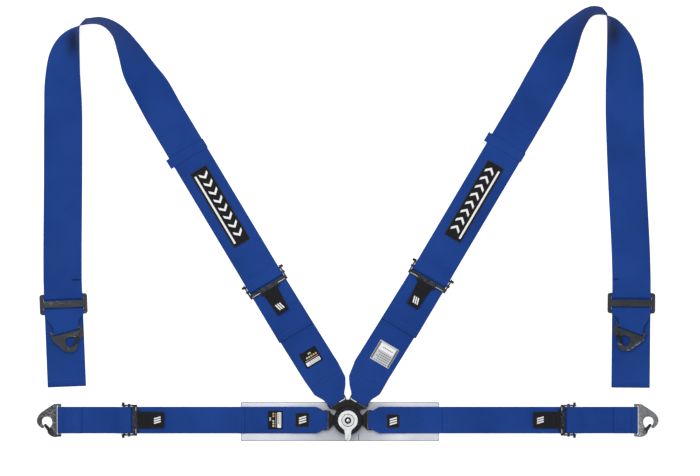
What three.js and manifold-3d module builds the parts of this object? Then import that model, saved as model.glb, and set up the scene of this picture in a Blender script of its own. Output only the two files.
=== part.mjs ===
// Four-point racing harness with a rotary cam-lock buckle, laid flat on a surface.
// Millimetres, +Z up. The origin is on the buckle's axis, at the underside of its back pad.
// +X runs along the right lap belt, +Y up towards the shoulder belts.
import * as THREE from 'three';
import { mergeVertices } from 'three/addons/utils/BufferGeometryUtils.js';
import Module from 'manifold-3d';

const wasm = await Module();
wasm.setup();

// Webbing
const SHOULDER_WIDTH = 75;
const LAP_WIDTH = 52;
const WEB = 1.4; // webbing thickness
const GAP = 0.3; // clearance between touching pieces
const LAYER = WEB + GAP; // pitch of stacked layers of webbing
const FLOOR = WEB / 2; // mid-height of webbing that lies on the surface

// Back pad
const PAD = { width: 386, height: 76, thickness: 1, x: -15.6, y: -3, corner: 6 };
const PAD_STEP = 14; // length over which a lap belt steps up on to the pad

// Buckle
const HOUSING = { radius: 28.5, inner: 24, bottom: 3.6, cavityTop: 15.5, top: 18 };
const BACK_PLATE = { radius: 27.5, bottom: 1.3, top: 3.3 };
const LEVER = { radius: 19, bottom: 18.3, top: 23.3, tail: 40, tailWidth: 12, neck: 6 };
const CAP = { radius: 11.3, bottom: 23.6, top: 24.8 };
const ROTOR = { hub: 7, flange: 20, neck: 6, bore: 3.4, bottom: 11.8, flangeBottom: 14.2, flangeTop: 15.2 };
const SPINDLE = { radius: 3, flange: 8, bottom: 3.6, flangeTop: 5, top: 17.8 };
const PIN = { radius: 2.6, at: 17, bottom: 6.2, top: 10.6, hole: 3.2 };
const SPRING = { radius: 9.6, wire: 0.9, bottom: 11.4, top: 13.2, turns: 1.6 };

// Hood of the housing over the two shoulder tongues, half of its outline in (x, y)
const HOOD = { outline: [[17, 24], [13.5, 35.5], [5, 40.5]], bottom: 9.7, top: 13.5 };

// Tongues: a plate with a slot whose outer bar carries the webbing
const TONGUE = { mid: 7.8, half: 1.2, tip: 13.4, nose: 10, neck: 29, wide: 37, end: 47.5, bar: 42.5 };
const TONGUE_SLOT = { length: 4.4, half: 17 };
const LAP_GATHER = { from: 41, to: 64, slotWidth: 33 };
const SHOULDER_GATHER = { from: 36, to: 86, slotWidth: 32 };
const WRAP_TONGUE = TONGUE.half + GAP + WEB / 2; // mid-line radius of webbing round the tongue's bar

// Adjusters: w is measured from the cross-bar towards the anchor
const FIXED_BAR = { w: 22, z: 3.7, r: 2 };
const LOCK_BAR = { w: 12, z: 6.2, r: 2.6 };
const CROSS_BAR = { from: -3.6, to: 5, bottom: 5.4, top: 8.2 };
const TAB_ROD = { w: -7, z: 7.9, r: 1.2, half: 20.6, stub: 19 };
const PULL_TAB = { length: 50, lapWidth: 33, shoulderWidth: 27, thickness: 2 };
const EAR = { gap: 1.2, thickness: 3, flange: 7.5, top: 12 };
const SEWN = 45; // sewn turn-back at an adjuster

// Snap hooks: h is measured from the strap bar towards the nose
const HOOK = { bar: 2.6, plate: 3.4, back: -3.4, slotTo: 5.2, arm: 4.5 };
const WRAP_HOOK = HOOK.bar + GAP + WEB / 2;
const HOOK_WIDTH = 50; // webbing width where it passes round a rear hook's bar
const GATE = { h: 17, v: -23, length: 20, width: 7, thickness: 1.6, angle: 51 };
const RIVET = { radius: 2, head: 3.6, headHeight: 1 };

// Three-bar slides: s is measured from the centre bar towards the rear hook
const SLIDE = { width: 93, half: 20, bar: 7.5, centre: 6.5, bottom: 2, top: 4.6, rail: 7.5, corner: 5 };

// Keepers: sewn sleeves of webbing, wider than the belt towards its left edge
const KEEPER = { length: 20, wall: 1.2, height: 4.4, from: -39, to: 44.5 };
const KEEPER_RISE = KEEPER.wall + GAP;

// Shoulder loops: a strap starts to roll up from one length before its edges cross, and follows
// its leg's line from the other. Past the crossing it leans out by a first share of the quarter
// turn, then lies down on its other face over the belt's own length, rollOver.
const ROLL_UP = { from: 260, to: 110 };
const LEAN = { share: 0.07, over: 10 };

// Belts: distances along each belt are from the buckle's axis. A shoulder belt's outer edge follows
// outer and inner, and its other edge keeps to x = legLine until the two cross at the top of the loop.
// A belt swings aside by bow near its tongue.
const BELTS = {
  left_lap: {
    angle: 180, offset: 0, web: LAP_WIDTH, adjuster: 414.5, hem: 201, bar: 562, hookMirror: -1,
    padEnd: 212, steel: 'dark_steel',
  },
  right_lap: {
    angle: 0, offset: 0, web: LAP_WIDTH, adjuster: 418, hem: 185, bar: 561, hookMirror: 1,
    padEnd: 181, steel: 'grey_steel',
  },
  left_shoulder: {
    angle: 120.9, offset: 0, web: SHOULDER_WIDTH, adjuster: 301.5, hem: 197, keeper: 597,
    slide: [-554.5, 226], rearBar: [-549.5, 175], rearAngle: 15, side: 1,
    tail: [-548, 65],
    outer: [[-594, 330], [-593, 470], [-592.5, 600], [-591, 663], [-580, 720], [-558, 752], [-526, 768.5]],
    inner: [[-484, 771], [-461, 752], [-449, 716], [-437, 669], [-415.5, 626]],
    legLine: -521, rollOver: 250, rollDelay: 15, landing: 700, bow: -4, steel: 'dark_steel',
  },
  right_shoulder: {
    angle: 59.4, offset: 5, web: SHOULDER_WIDTH, adjuster: 311.5, hem: 204, keeper: 604,
    slide: [552.5, 228], rearBar: [551.5, 177], rearAngle: -20, side: -1,
    tail: [551, 63],
    outer: [[589, 330], [582, 470], [577.5, 590], [575.5, 670], [567, 718], [548, 757], [518, 785]],
    inner: [[479, 789], [460, 763], [449, 728], [433, 676], [409, 630]],
    legLine: 503, rollOver: 200, rollDelay: 0, landing: 705, bow: 5.5, steel: 'dark_steel',
  },
};

const MATERIALS = {
  webbing: { color: 0x2144a0, roughness: 0.85, metalness: 0 },
  black_fabric: { color: 0x151518, roughness: 0.9, metalness: 0 },
  black_steel: { color: 0x18181a, roughness: 0.45, metalness: 0.7 },
  dark_steel: { color: 0x4b4d50, roughness: 0.5, metalness: 0.75 },
  grey_steel: { color: 0x8d9093, roughness: 0.5, metalness: 0.75 },
  bright_steel: { color: 0xb9bcc0, roughness: 0.3, metalness: 0.9 },
  pad_plastic: { color: 0xc9ccce, roughness: 0.4, metalness: 0 },
  silver_label: { color: 0xa9adb1, roughness: 0.4, metalness: 0.1 },
};

const harness = new THREE.Group();

function piece(name, geometry, material, parent = harness) {
  const mesh = new THREE.Mesh(geometry, new THREE.MeshStandardMaterial(MATERIALS[material]));
  mesh.name = name;
  parent.add(mesh);
  return mesh;
}

// ---- Solids: joins and cuts -------------------------------------------------------------

function toSolid(geometry) {
  const bare = geometry.clone();
  bare.deleteAttribute('normal');
  bare.deleteAttribute('uv');
  const merged = mergeVertices(bare, 1e-4);
  return new wasm.Manifold(new wasm.Mesh({
    numProp: 3,
    vertProperties: new Float32Array(merged.attributes.position.array),
    triVerts: new Uint32Array(merged.index.array),
  }));
}

function toGeometry(solid) {
  const mesh = solid.getMesh();
  const geometry = new THREE.BufferGeometry();
  geometry.setAttribute('position', new THREE.BufferAttribute(mesh.vertProperties, 3));
  geometry.setIndex(new THREE.BufferAttribute(mesh.triVerts, 1));
  return geometry;
}

function join(...geometries) {
  return toGeometry(geometries.map(toSolid).reduce((sum, next) => sum.add(next)));
}

function cut(geometry, ...tools) {
  return toGeometry(tools.map(toSolid).reduce((rest, tool) => rest.subtract(tool), toSolid(geometry)));
}

// ---- Plain shapes -----------------------------------------------------------------------

function box(x0, x1, y0, y1, z0, z1) {
  const shape = new THREE.BoxGeometry(x1 - x0, y1 - y0, z1 - z0);
  return shape.translate((x0 + x1) / 2, (y0 + y1) / 2, (z0 + z1) / 2);
}

// A solid of revolution about Z from a closed [radius, z] profile that touches the axis.
function turned(profile, segments = 40) {
  const points = profile.map(([r, z]) => new THREE.Vector2(r, z));
  return new THREE.LatheGeometry(points, segments).rotateX(Math.PI / 2);
}

function disc(radius, z0, z1, segments = 40) {
  return turned([[0, z0], [radius, z0], [radius, z1], [0, z1]], segments);
}

function plate(shape, z0, z1, curveSegments = 8) {
  const options = { depth: z1 - z0, bevelEnabled: false, curveSegments };
  return new THREE.ExtrudeGeometry(shape, options).translate(0, 0, z0);
}

// A profile in the (x, z) plane, extruded along Y from y0 to y1.
function crosswise(shape, y0, y1, curveSegments = 8) {
  const options = { depth: y1 - y0, bevelEnabled: false, curveSegments };
  return new THREE.ExtrudeGeometry(shape, options).rotateX(Math.PI / 2).translate(0, y1, 0);
}

// A round bar along Y.
function crossRod(x, z, radius, halfLength, segments = 12) {
  return new THREE.CylinderGeometry(radius, radius, 2 * halfLength, segments).translate(x, 0, z);
}

function outline(points) {
  return new THREE.Shape(points.map(([x, y]) => new THREE.Vector2(x, y)));
}

function roundedRectangle(x0, x1, y0, y1, r) {
  const shape = new THREE.Shape();
  shape.moveTo(x0 + r, y0);
  shape.lineTo(x1 - r, y0);
  shape.absarc(x1 - r, y0 + r, r, -Math.PI / 2, 0, false);
  shape.lineTo(x1, y1 - r);
  shape.absarc(x1 - r, y1 - r, r, 0, Math.PI / 2, false);
  shape.lineTo(x0 + r, y1);
  shape.absarc(x0 + r, y1 - r, r, Math.PI / 2, Math.PI, false);
  shape.lineTo(x0, y0 + r);
  shape.absarc(x0 + r, y0 + r, r, Math.PI, 1.5 * Math.PI, false);
  return shape;
}

// ---- Webbing ----------------------------------------------------------------------------

// A station is { p: mid-point, across: unit vector over the width, width }.
function ribbon(stations, thickness = WEB) {
  const vertices = [];
  stations.forEach(({ p, across, width }, i) => {
    const before = stations[Math.max(i - 1, 0)].p;
    const after = stations[Math.min(i + 1, stations.length - 1)].p;
    const normal = new THREE.Vector3().crossVectors(across, after.clone().sub(before)).normalize();
    for (const [side, face] of [[-1, -1], [1, -1], [1, 1], [-1, 1]]) {
      const corner = p.clone().addScaledVector(across, (side * width) / 2);
      corner.addScaledVector(normal, (face * thickness) / 2);
      vertices.push(corner.x, corner.y, corner.z);
    }
  });
  const faces = [0, 2, 1, 0, 3, 2];
  for (let i = 0; i < stations.length - 1; i += 1) {
    const [a, b, c, d] = [0, 1, 2, 3].map((k) => 4 * i + k);
    // The two broad faces are split along the same diagonal, so a twist keeps its thickness.
    faces.push(a, b, b + 4, a, b + 4, a + 4);
    faces.push(b, c, c + 4, b, c + 4, b + 4);
    faces.push(c, d, c + 4, d, d + 4, c + 4);
    faces.push(d, a, a + 4, d, a + 4, d + 4);
  }
  const last = 4 * (stations.length - 1);
  faces.push(last, last + 1, last + 2, last, last + 2, last + 3);
  const geometry = new THREE.BufferGeometry();
  geometry.setAttribute('position', new THREE.Float32BufferAttribute(vertices, 3));
  geometry.setIndex(facesOutward(vertices, faces));
  return geometry;
}

function facesOutward(vertices, faces) {
  let volume = 0;
  for (let i = 0; i < faces.length; i += 3) {
    const [a, b, c] = [0, 1, 2].map((k) => new THREE.Vector3().fromArray(vertices, 3 * faces[i + k]));
    volume += a.dot(b.cross(c));
  }
  return volume > 0 ? faces : faces.slice().reverse();
}

// Profile helpers: points [along, z] of a strap's mid-line.
function ramp(x0, z0, x1, z1, steps = 4) {
  return Array.from({ length: steps + 1 }, (_, i) => {
    const t = i / steps;
    return [x0 + (x1 - x0) * t, z0 + (z1 - z0) * t * t * (3 - 2 * t)];
  });
}

function wrap(x, z, radius, fromDegrees, toDegrees, steps = 6) {
  return Array.from({ length: steps + 1 }, (_, i) => {
    const a = THREE.MathUtils.degToRad(fromDegrees + ((toDegrees - fromDegrees) * i) / steps);
    return [x + radius * Math.cos(a), z + radius * Math.sin(a)];
  });
}

// Places a profile along a belt frame: u along the belt from the buckle, v over its width.
function along(profile, frame, widthAt) {
  return profile.map(([u, z]) => ({
    p: frame.at(u, 0, z),
    across: frame.across.clone(),
    width: typeof widthAt === 'function' ? widthAt(u) : widthAt,
  }));
}

function planFrame(origin, degrees, offset = 0) {
  const a = THREE.MathUtils.degToRad(degrees);
  const forward = new THREE.Vector3(Math.cos(a), Math.sin(a), 0);
  const across = new THREE.Vector3(-Math.sin(a), Math.cos(a), 0);
  const start = new THREE.Vector3(origin[0], origin[1], 0).addScaledVector(across, offset);
  const at = (u, v, z) => start.clone().addScaledVector(forward, u).addScaledVector(across, v).setZ(z);
  const group = new THREE.Group();
  group.position.copy(start);
  group.rotation.z = a;
  harness.add(group);
  return { at, across, forward, group, degrees };
}

// ---- Tongue and tongue-side webbing -----------------------------------------------------

function tongueShape() {
  const { tip, nose, neck, wide, end } = TONGUE;
  const half = 19;
  const lower = [
    [tip, -nose + 4], [tip + 5, -nose], [neck, -nose], [wide, -half], [end - 2, -half - 1], [end, -half + 1],
  ];
  const upper = lower.map(([u, v]) => [u, -v]).reverse();
  return outline([...lower, ...upper]);
}

function tongue() {
  const shape = tongueShape();
  const { length, half } = TONGUE_SLOT;
  shape.holes.push(roundedRectangle(TONGUE.bar - length, TONGUE.bar, -half, half, 1.2));
  const pinHole = new THREE.Path();
  pinHole.absarc(PIN.at, 0, PIN.hole, 0, 2 * Math.PI, true);
  shape.holes.push(pinHole);
  return plate(shape, TONGUE.mid - TONGUE.half, TONGUE.mid + TONGUE.half, 5);
}

// Webbing is gathered towards the tongue's slot over its last few centimetres.
function gathered(belt) {
  const { from, to, slotWidth } = isLap(belt) ? LAP_GATHER : SHOULDER_GATHER;
  return (u) => slotWidth + (belt.web - slotWidth) * THREE.MathUtils.smoothstep(u, from, to);
}

function isLap(belt) {
  return belt.padEnd !== undefined;
}

// Mid-height of the lowest layer: lap belts step up on to the back pad near the buckle.
function layHeight(belt, u) {
  if (!isLap(belt)) return FLOOR;
  const onPad = 1 - THREE.MathUtils.smoothstep(u, belt.padEnd, belt.padEnd + PAD_STEP);
  return FLOOR + (PAD.thickness + GAP) * onPad;
}

function tongueSideProfile(belt) {
  const base = layHeight(belt, 0);
  const turnBack = 105;
  const fixed = belt.adjuster + FIXED_BAR.w;
  const low = TONGUE.mid - WRAP_TONGUE;
  const high = TONGUE.mid + WRAP_TONGUE;
  const fixedWrap = FIXED_BAR.r + GAP + WEB / 2;
  const points = [
    [turnBack, base],
    ...ramp(66, base, 51, low),
    ...wrap(TONGUE.bar, TONGUE.mid, WRAP_TONGUE, 270, 90),
    ...ramp(51, high, 76, base + LAYER),
    ...ramp(turnBack + 3, base + LAYER, turnBack + 15, base),
  ];
  if (isLap(belt)) points.push(...ramp(belt.padEnd, base, belt.padEnd + PAD_STEP, FLOOR));
  points.push(
    ...wrap(fixed, FIXED_BAR.z, fixedWrap, -90, 90),
    ...ramp(fixed - 0.8, FIXED_BAR.z + fixedWrap - 0.1, fixed - 6.5, FLOOR + LAYER),
    [belt.adjuster - SEWN, FLOOR + LAYER],
  );
  return points;
}

// ---- Adjuster ---------------------------------------------------------------------------

function adjusterFrame(width) {
  const inside = width / 2 + EAR.gap;
  const outside = inside + EAR.thickness;
  const notch = LOCK_BAR.r + 0.6;
  const ear = new THREE.Shape();
  ear.moveTo(CROSS_BAR.from, CROSS_BAR.bottom);
  ear.lineTo(CROSS_BAR.to, CROSS_BAR.bottom);
  ear.lineTo(LOCK_BAR.w - notch, 3);
  ear.lineTo(LOCK_BAR.w - notch, LOCK_BAR.z);
  ear.absarc(LOCK_BAR.w, LOCK_BAR.z, notch, Math.PI, 0, true);
  ear.lineTo(LOCK_BAR.w + notch, 1.4);
  ear.lineTo(FIXED_BAR.w + 3, 0.8);
  ear.lineTo(FIXED_BAR.w + 5, 3.7);
  ear.lineTo(FIXED_BAR.w + 4, 8.5);
  ear.lineTo(18, EAR.top);
  ear.lineTo(4, EAR.top);
  ear.lineTo(CROSS_BAR.from, CROSS_BAR.top);
  const flangeFrom = FIXED_BAR.w - 1;
  const flangeTo = FIXED_BAR.w + 4;
  const parts = [
    crosswise(ear, inside, outside, 5),
    crosswise(ear, -outside, -inside, 5),
    crossRod(FIXED_BAR.w, FIXED_BAR.z, FIXED_BAR.r, inside + 1),
    box(CROSS_BAR.from, CROSS_BAR.to, -inside - 1, inside + 1, CROSS_BAR.bottom, CROSS_BAR.top),
    crossRod(TAB_ROD.w, TAB_ROD.z, TAB_ROD.r, TAB_ROD.half, 8),
    box(flangeFrom, flangeTo, outside - 1, outside + EAR.flange - EAR.thickness, 4.4, 7.4),
    box(flangeFrom, flangeTo, -outside - EAR.flange + EAR.thickness, -outside + 1, 4.4, 7.4),
  ];
  for (const side of [-1, 1]) {
    const stub = TAB_ROD.stub * side;
    parts.push(box(TAB_ROD.w, CROSS_BAR.from + 1, stub - 1.6, stub + 1.6, 6.9, 8.1));
  }
  return join(...parts);
}

function lockBar(width) {
  return crossRod(LOCK_BAR.w, LOCK_BAR.z, LOCK_BAR.r, width / 2 + 6);
}

// Pull tab: a flat tab of doubled webbing whose eye turns on the adjuster's front rod.
function pullTab(width) {
  const { length, thickness } = PULL_TAB;
  const eye = TAB_ROD.r + GAP;
  const outer = eye + 1;
  const top = TAB_ROD.z - 0.2;
  const bottom = top - thickness;
  const shape = new THREE.Shape();
  shape.absarc(TAB_ROD.w, TAB_ROD.z, outer, -0.75 * Math.PI, 0.95 * Math.PI, false);
  shape.lineTo(TAB_ROD.w - outer - 1, top);
  shape.lineTo(TAB_ROD.w - length, top);
  shape.lineTo(TAB_ROD.w - length, bottom);
  shape.lineTo(TAB_ROD.w - outer, bottom);
  const hole = new THREE.Path();
  hole.absarc(TAB_ROD.w, TAB_ROD.z, eye, 0, 2 * Math.PI, true);
  shape.holes.push(hole);
  return crosswise(shape, -width / 2, width / 2, 6);
}

// ---- Snap hook --------------------------------------------------------------------------

// Outline from the strap slot's gate side, round the mouth, the eye and the nose, and back.
function hookPlate(width) {
  const { back, slotTo, arm } = HOOK;
  const inside = width / 2 + 1.5;
  const outside = inside + arm;
  const body = new THREE.Shape();
  body.moveTo(back, -outside);
  body.lineTo(10, -outside - 1);
  body.quadraticCurveTo(20, -outside + 1, 23.5, -24);
  body.quadraticCurveTo(24.5, -20, 20, -15.5);
  body.quadraticCurveTo(13.5, -9, 14.5, -2);
  body.quadraticCurveTo(15.5, 6.5, 24, 7);
  body.quadraticCurveTo(33, 7, 34.5, -1);
  body.quadraticCurveTo(35, -7.5, 30, -12);
  body.quadraticCurveTo(30.5, -16.5, 34.5, -15.5);
  body.quadraticCurveTo(45, -9.5, 44.5, 0);
  body.quadraticCurveTo(43.5, 9.5, 34, 16.5);
  body.lineTo(12, 31);
  body.quadraticCurveTo(8, outside, 3, outside);
  body.lineTo(back, outside);
  body.lineTo(back, inside);
  body.lineTo(slotTo, inside);
  body.lineTo(slotTo, -inside);
  body.lineTo(back, -inside);
  const rivetHole = new THREE.Path();
  rivetHole.absarc(GATE.h, GATE.v, RIVET.radius + GAP, 0, 2 * Math.PI, true);
  body.holes.push(rivetHole);
  const solid = plate(body, -HOOK.plate / 2, HOOK.plate / 2, 4);
  return join(solid, crossRod(0, 0, HOOK.bar, inside + 1));
}

function gate() {
  const { length, width, thickness } = GATE;
  const shape = new THREE.Shape();
  shape.absarc(0, 0, width / 2 + 0.6, Math.PI / 2, 1.5 * Math.PI, false);
  shape.lineTo(length - 3, -width / 2 + 0.6);
  shape.absarc(length - 3, 0, width / 2 - 0.6, -Math.PI / 2, Math.PI / 2, false);
  const hole = new THREE.Path();
  hole.absarc(0, 0, RIVET.radius + GAP, 0, 2 * Math.PI, true);
  shape.holes.push(hole);
  const z0 = HOOK.plate / 2 + GAP;
  return plate(shape, z0, z0 + thickness, 5);
}

function rivet() {
  const low = -HOOK.plate / 2 + 0.3;
  const neck = HOOK.plate / 2 + GAP + GATE.thickness + GAP;
  const { radius, head, headHeight } = RIVET;
  const top = neck + headHeight;
  return turned([[0, low], [radius, low], [radius, neck], [head, neck], [head - 0.8, top], [0, top]], 12);
}

// ---- Three-bar slide --------------------------------------------------------------------

function threeBarSlide() {
  const { width, half, bar, centre, bottom, top, rail, corner } = SLIDE;
  const shape = roundedRectangle(-half, half, -width / 2, width / 2, corner);
  const open = width / 2 - rail;
  shape.holes.push(roundedRectangle(-half + bar, -centre, -open, open, 1));
  shape.holes.push(roundedRectangle(centre, half - bar, -open, open, 1));
  return plate(shape, bottom, top, 3);
}

// ---- Hook-side webbing ------------------------------------------------------------------

// From the far side of an adjuster, over its lock bar and under its cross-bar, to the hem.
function adjusterProfile(belt, farSide = Infinity) {
  const a = belt.adjuster;
  const lockWrap = LOCK_BAR.r + GAP + WEB / 2;
  const onSewn = FLOOR + 2 * LAYER;
  const bend = 2.1;
  const points = [
    ...ramp(Math.min(a + 46, farSide), FLOOR, a + 24.5, FIXED_BAR.z + 4.9, 6),
    ...wrap(a + LOCK_BAR.w, LOCK_BAR.z, lockWrap, 80, 180, 6),
    ...wrap(a + LOCK_BAR.w - lockWrap - bend, LOCK_BAR.z, bend, 0, -90, 4),
    ...ramp(a - SEWN - 1, onSewn, a - SEWN - 10, FLOOR + LAYER, 4),
  ];
  const from = isLap(belt) ? Math.max(belt.padEnd + PAD_STEP, belt.hem + 1) : belt.hem + 40;
  for (let i = 0; i <= 4; i += 1) {
    const u = from + ((belt.hem - from) * i) / 4;
    points.push([u, layHeight(belt, u) + LAYER]);
  }
  return points;
}

function lapHookSideProfile(belt) {
  const bar = belt.bar;
  return [
    [bar - 43, FLOOR + LAYER],
    ...ramp(bar - 12, FLOOR + LAYER, bar - 1, FLOOR + 2 * WRAP_HOOK),
    ...wrap(bar, FLOOR + WRAP_HOOK, WRAP_HOOK, 90, -90),
    ...adjusterProfile(belt, bar),
  ];
}

// Rear end of a shoulder belt: tail, slide, rear hook, slide again, in (s, z) from the slide.
function slideProfile(hookAt) {
  const over = SLIDE.top + GAP + FLOOR;
  const under = SLIDE.bottom - GAP - FLOOR;
  const edge = SLIDE.half - SLIDE.bar;
  const hookHeight = FLOOR + LAYER + WRAP_HOOK;
  const turn = (over - under) / 2;
  const axis = edge + 0.5; // the inner and outer turns round the lower bar share this centre
  const middle = (over + under) / 2;
  const outerTurn = over + LAYER - middle;
  const dip = middle - FLOOR - 0.1;
  const rise = 2.6;
  const toHook = [
    [edge + 34, FLOOR],
    ...ramp(edge + 16, FLOOR, edge + 8, under, 3),
    ...wrap(axis, middle, turn, -90, -270, 6),
    ...ramp(edge + 9, over, hookAt - 8, FLOOR + LAYER, 5),
    ...wrap(hookAt, hookHeight, WRAP_HOOK, -90, 90, 6),
    ...ramp(hookAt - 3, hookHeight + WRAP_HOOK, edge + 9, over + LAYER, 5),
  ];
  const throughSlide = [
    ...wrap(axis, middle, outerTurn, 90, 180, 4),
    ...wrap(axis - outerTurn - dip, middle, dip, 0, -90, 3),
    ...wrap(-axis + rise + dip, over - rise, dip, -90, -180, 3),
    ...wrap(-axis, over - rise, rise, 0, 90, 3),
    ...ramp(-SLIDE.half - 1, over, -SLIDE.half - 26, FLOOR, 5),
  ];
  return { toHook, throughSlide };
}

// The strap stands up on its outer edge round the loop and lands with its other face up.
function twistedLoop(belt, frame) {
  const { outer, inner, side, web } = belt;
  const leg = legFrame(belt);
  const points = [...outer, ...inner].map(([x, y]) => new THREE.Vector3(x, y, 0));
  points.unshift(leg.at(-SLIDE.half - 28, 0).addScaledVector(leg.across, -web / 2));
  const landingEdge = frame.at(belt.landing, (side * web) / 2, 0);
  points.push(landingEdge);
  points.push(frame.at(belt.landing - 30, (side * web) / 2, 0));
  const route = new THREE.CatmullRomCurve3(points, false, 'centripetal');
  const length = route.getLength();
  const crossing = lengthToLine(route, belt);
  const spacing = 14;
  const goals = [...steps(0, crossing, spacing).slice(0, -1), ...steps(crossing, length, spacing)];
  return goals.map((goal) => {
    const edge = route.getPointAt(goal / length);
    const tangent = route.getTangentAt(goal / length);
    const inward = new THREE.Vector3(tangent.y * side, -tangent.x * side, 0);
    const past = goal - crossing;
    const upright = Math.acos(Math.min((belt.legLine - edge.x) / inward.x / web, 1));
    const share = THREE.MathUtils.smoothstep(past, -ROLL_UP.from, -ROLL_UP.to);
    const roll = past < 0 ? upright * share : (Math.PI / 2) * quarterTurns(past, belt);
    const across = inward.multiplyScalar(Math.cos(roll)).setZ(Math.sin(roll));
    const p = edge.clone().addScaledVector(across, web / 2);
    p.z += FLOOR;
    return { p, across, width: web };
  });
}

// Roll of a shoulder strap at a length past the crossing of its edges, where it is one quarter turn.
function quarterTurns(past, belt) {
  const lean = LEAN.share * Math.min(past / LEAN.over, 1);
  const over = THREE.MathUtils.clamp((past - belt.rollDelay) / belt.rollOver, 0, 1);
  return 1 + lean + (1 - LEAN.share) * Math.sin((Math.PI / 2) * over) ** 1.5;
}

// Length of the outer edge's route up to the line that the leg's inner edge keeps to.
function lengthToLine(route, belt) {
  const count = 400;
  const beyond = route.getSpacedPoints(count).findIndex(({ x }) => belt.side * (belt.legLine - x) <= 0);
  return (beyond / count) * route.getLength();
}

// Evenly spaced values from one end to the other, about spacing apart.
function steps(from, to, spacing) {
  const count = Math.round((to - from) / spacing);
  return Array.from({ length: count + 1 }, (_, i) => from + ((to - from) * i) / count);
}

function legFrame(belt) {
  const [x0, y0] = belt.slide;
  const [x1, y1] = belt.tail;
  const down = new THREE.Vector3(x1 - x0, y1 - y0, 0).normalize();
  const across = new THREE.Vector3(-down.y, down.x, 0).multiplyScalar(belt.side);
  const start = new THREE.Vector3(x0, y0, 0);
  return { down, across, at: (s, z) => start.clone().addScaledVector(down, s).setZ(z) };
}

function shoulderHookSide(belt, frame) {
  const leg = legFrame(belt);
  const hook = new THREE.Vector3(belt.rearBar[0], belt.rearBar[1], 0);
  const hookAt = hook.clone().sub(leg.at(0, 0)).dot(leg.down);
  const sideways = hook.clone().sub(leg.at(0, 0)).dot(leg.across);
  const legAngle = Math.atan2(leg.across.y * belt.side, leg.across.x * belt.side);
  const hookTurn = THREE.MathUtils.degToRad(belt.rearAngle) - legAngle;
  const { toHook, throughSlide } = slideProfile(hookAt);
  const station = ([s, z], twist) => {
    const share = THREE.MathUtils.smoothstep(s, SLIDE.half, hookAt - 9) * twist;
    const across = leg.across.clone().applyAxisAngle(new THREE.Vector3(0, 0, 1), hookTurn * share);
    const centre = leg.at(Math.min(s, hookAt), z).addScaledVector(leg.across, sideways * share);
    const outward = new THREE.Vector3().crossVectors(across, new THREE.Vector3(0, 0, 1));
    outward.multiplyScalar(Math.sign(outward.dot(leg.down)));
    centre.addScaledVector(outward, Math.max(s - hookAt, 0)).setZ(z);
    return { p: centre, across, width: belt.web + (HOOK_WIDTH - belt.web) * share };
  };
  const tailLength = Math.hypot(belt.tail[0] - belt.slide[0], belt.tail[1] - belt.slide[1]);
  const tail = [[tailLength, FLOOR], [tailLength - 40, FLOOR], [tailLength - 80, FLOOR]];
  const loop = twistedLoop(belt, frame);
  const raised = FLOOR + KEEPER_RISE;
  const diagonal = [
    ...ramp(belt.landing - 34, FLOOR, belt.keeper + 62, raised),
    ...ramp(belt.keeper - 4, raised, belt.keeper - 30, FLOOR),
    [(belt.keeper + belt.adjuster) / 2, FLOOR],
    ...adjusterProfile(belt),
  ];
  const turnedOver = along(diagonal, frame, belt.web);
  turnedOver.forEach(({ across }) => across.multiplyScalar(-belt.side));
  return [
    ...tail.map((point) => station(point, 0)),
    ...toHook.slice(0, 4).map((point) => station(point, 0)),
    ...toHook.slice(4).map((point) => station(point, 1)),
    ...throughSlide.map((point) => station(point, 0)),
    ...loop,
    ...turnedOver,
  ];
}

// ---- Assembly ---------------------------------------------------------------------------

// A tongue points straight at the buckle's axis; its webbing eases over to the belt's own line.
function addTongueEnd(name, belt, frame) {
  piece(`${name}_tongue`, tongue(), 'black_steel', sockets[name].group);
  const stations = along(tongueSideProfile(belt), frame, gathered(belt));
  stations.forEach(({ p }) => {
    const u = p.clone().sub(frame.at(0, 0, 0)).dot(frame.forward);
    const share = 1 - THREE.MathUtils.smoothstep(u, 48, 120);
    const bow = THREE.MathUtils.smoothstep(u, 42, 62) - THREE.MathUtils.smoothstep(u, 100, 180);
    p.addScaledVector(frame.across, (belt.bow ?? 0) * bow - belt.offset * share);
  });
  piece(`${name}_tongue_strap`, ribbon(stations), 'webbing');
}

function addAdjuster(name, belt, frame) {
  const holder = new THREE.Group();
  holder.position.x = belt.adjuster;
  frame.group.add(holder);
  const tabWidth = isLap(belt) ? PULL_TAB.lapWidth : PULL_TAB.shoulderWidth;
  piece(`${name}_adjuster_frame`, adjusterFrame(belt.web), 'black_steel', holder);
  piece(`${name}_lock_bar`, lockBar(belt.web), 'dark_steel', holder);
  piece(`${name}_pull_tab`, pullTab(tabWidth), 'black_fabric', holder);
}

function addHook(name, width, position, degrees, mirror, steel) {
  const holder = new THREE.Group();
  holder.position.copy(position);
  holder.rotation.z = THREE.MathUtils.degToRad(degrees);
  harness.add(holder);
  const placed = (geometry) => (mirror > 0 ? geometry : mirrored(geometry));
  piece(`${name}_snap_hook`, placed(hookPlate(width)), steel, holder);
  const turn = THREE.MathUtils.degToRad(GATE.angle);
  const gateShape = gate().rotateZ(turn).translate(GATE.h, GATE.v, 0);
  piece(`${name}_hook_gate`, placed(gateShape), steel, holder);
  piece(`${name}_gate_rivet`, placed(rivet().translate(GATE.h, GATE.v, 0)), 'bright_steel', holder);
}

// Mirror image over the hook's own length.
function mirrored(geometry) {
  const copy = geometry.index ? geometry.toNonIndexed() : geometry.clone();
  copy.deleteAttribute('normal');
  copy.deleteAttribute('uv');
  const p = copy.attributes.position;
  for (let i = 0; i < p.count; i += 3) {
    const corners = [0, 2, 1].map((k) => [p.getX(i + k), -p.getY(i + k), p.getZ(i + k)]);
    corners.forEach(([x, y, z], k) => p.setXYZ(i + k, x, y, z));
  }
  return mergeVertices(copy, 1e-5);
}

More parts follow.
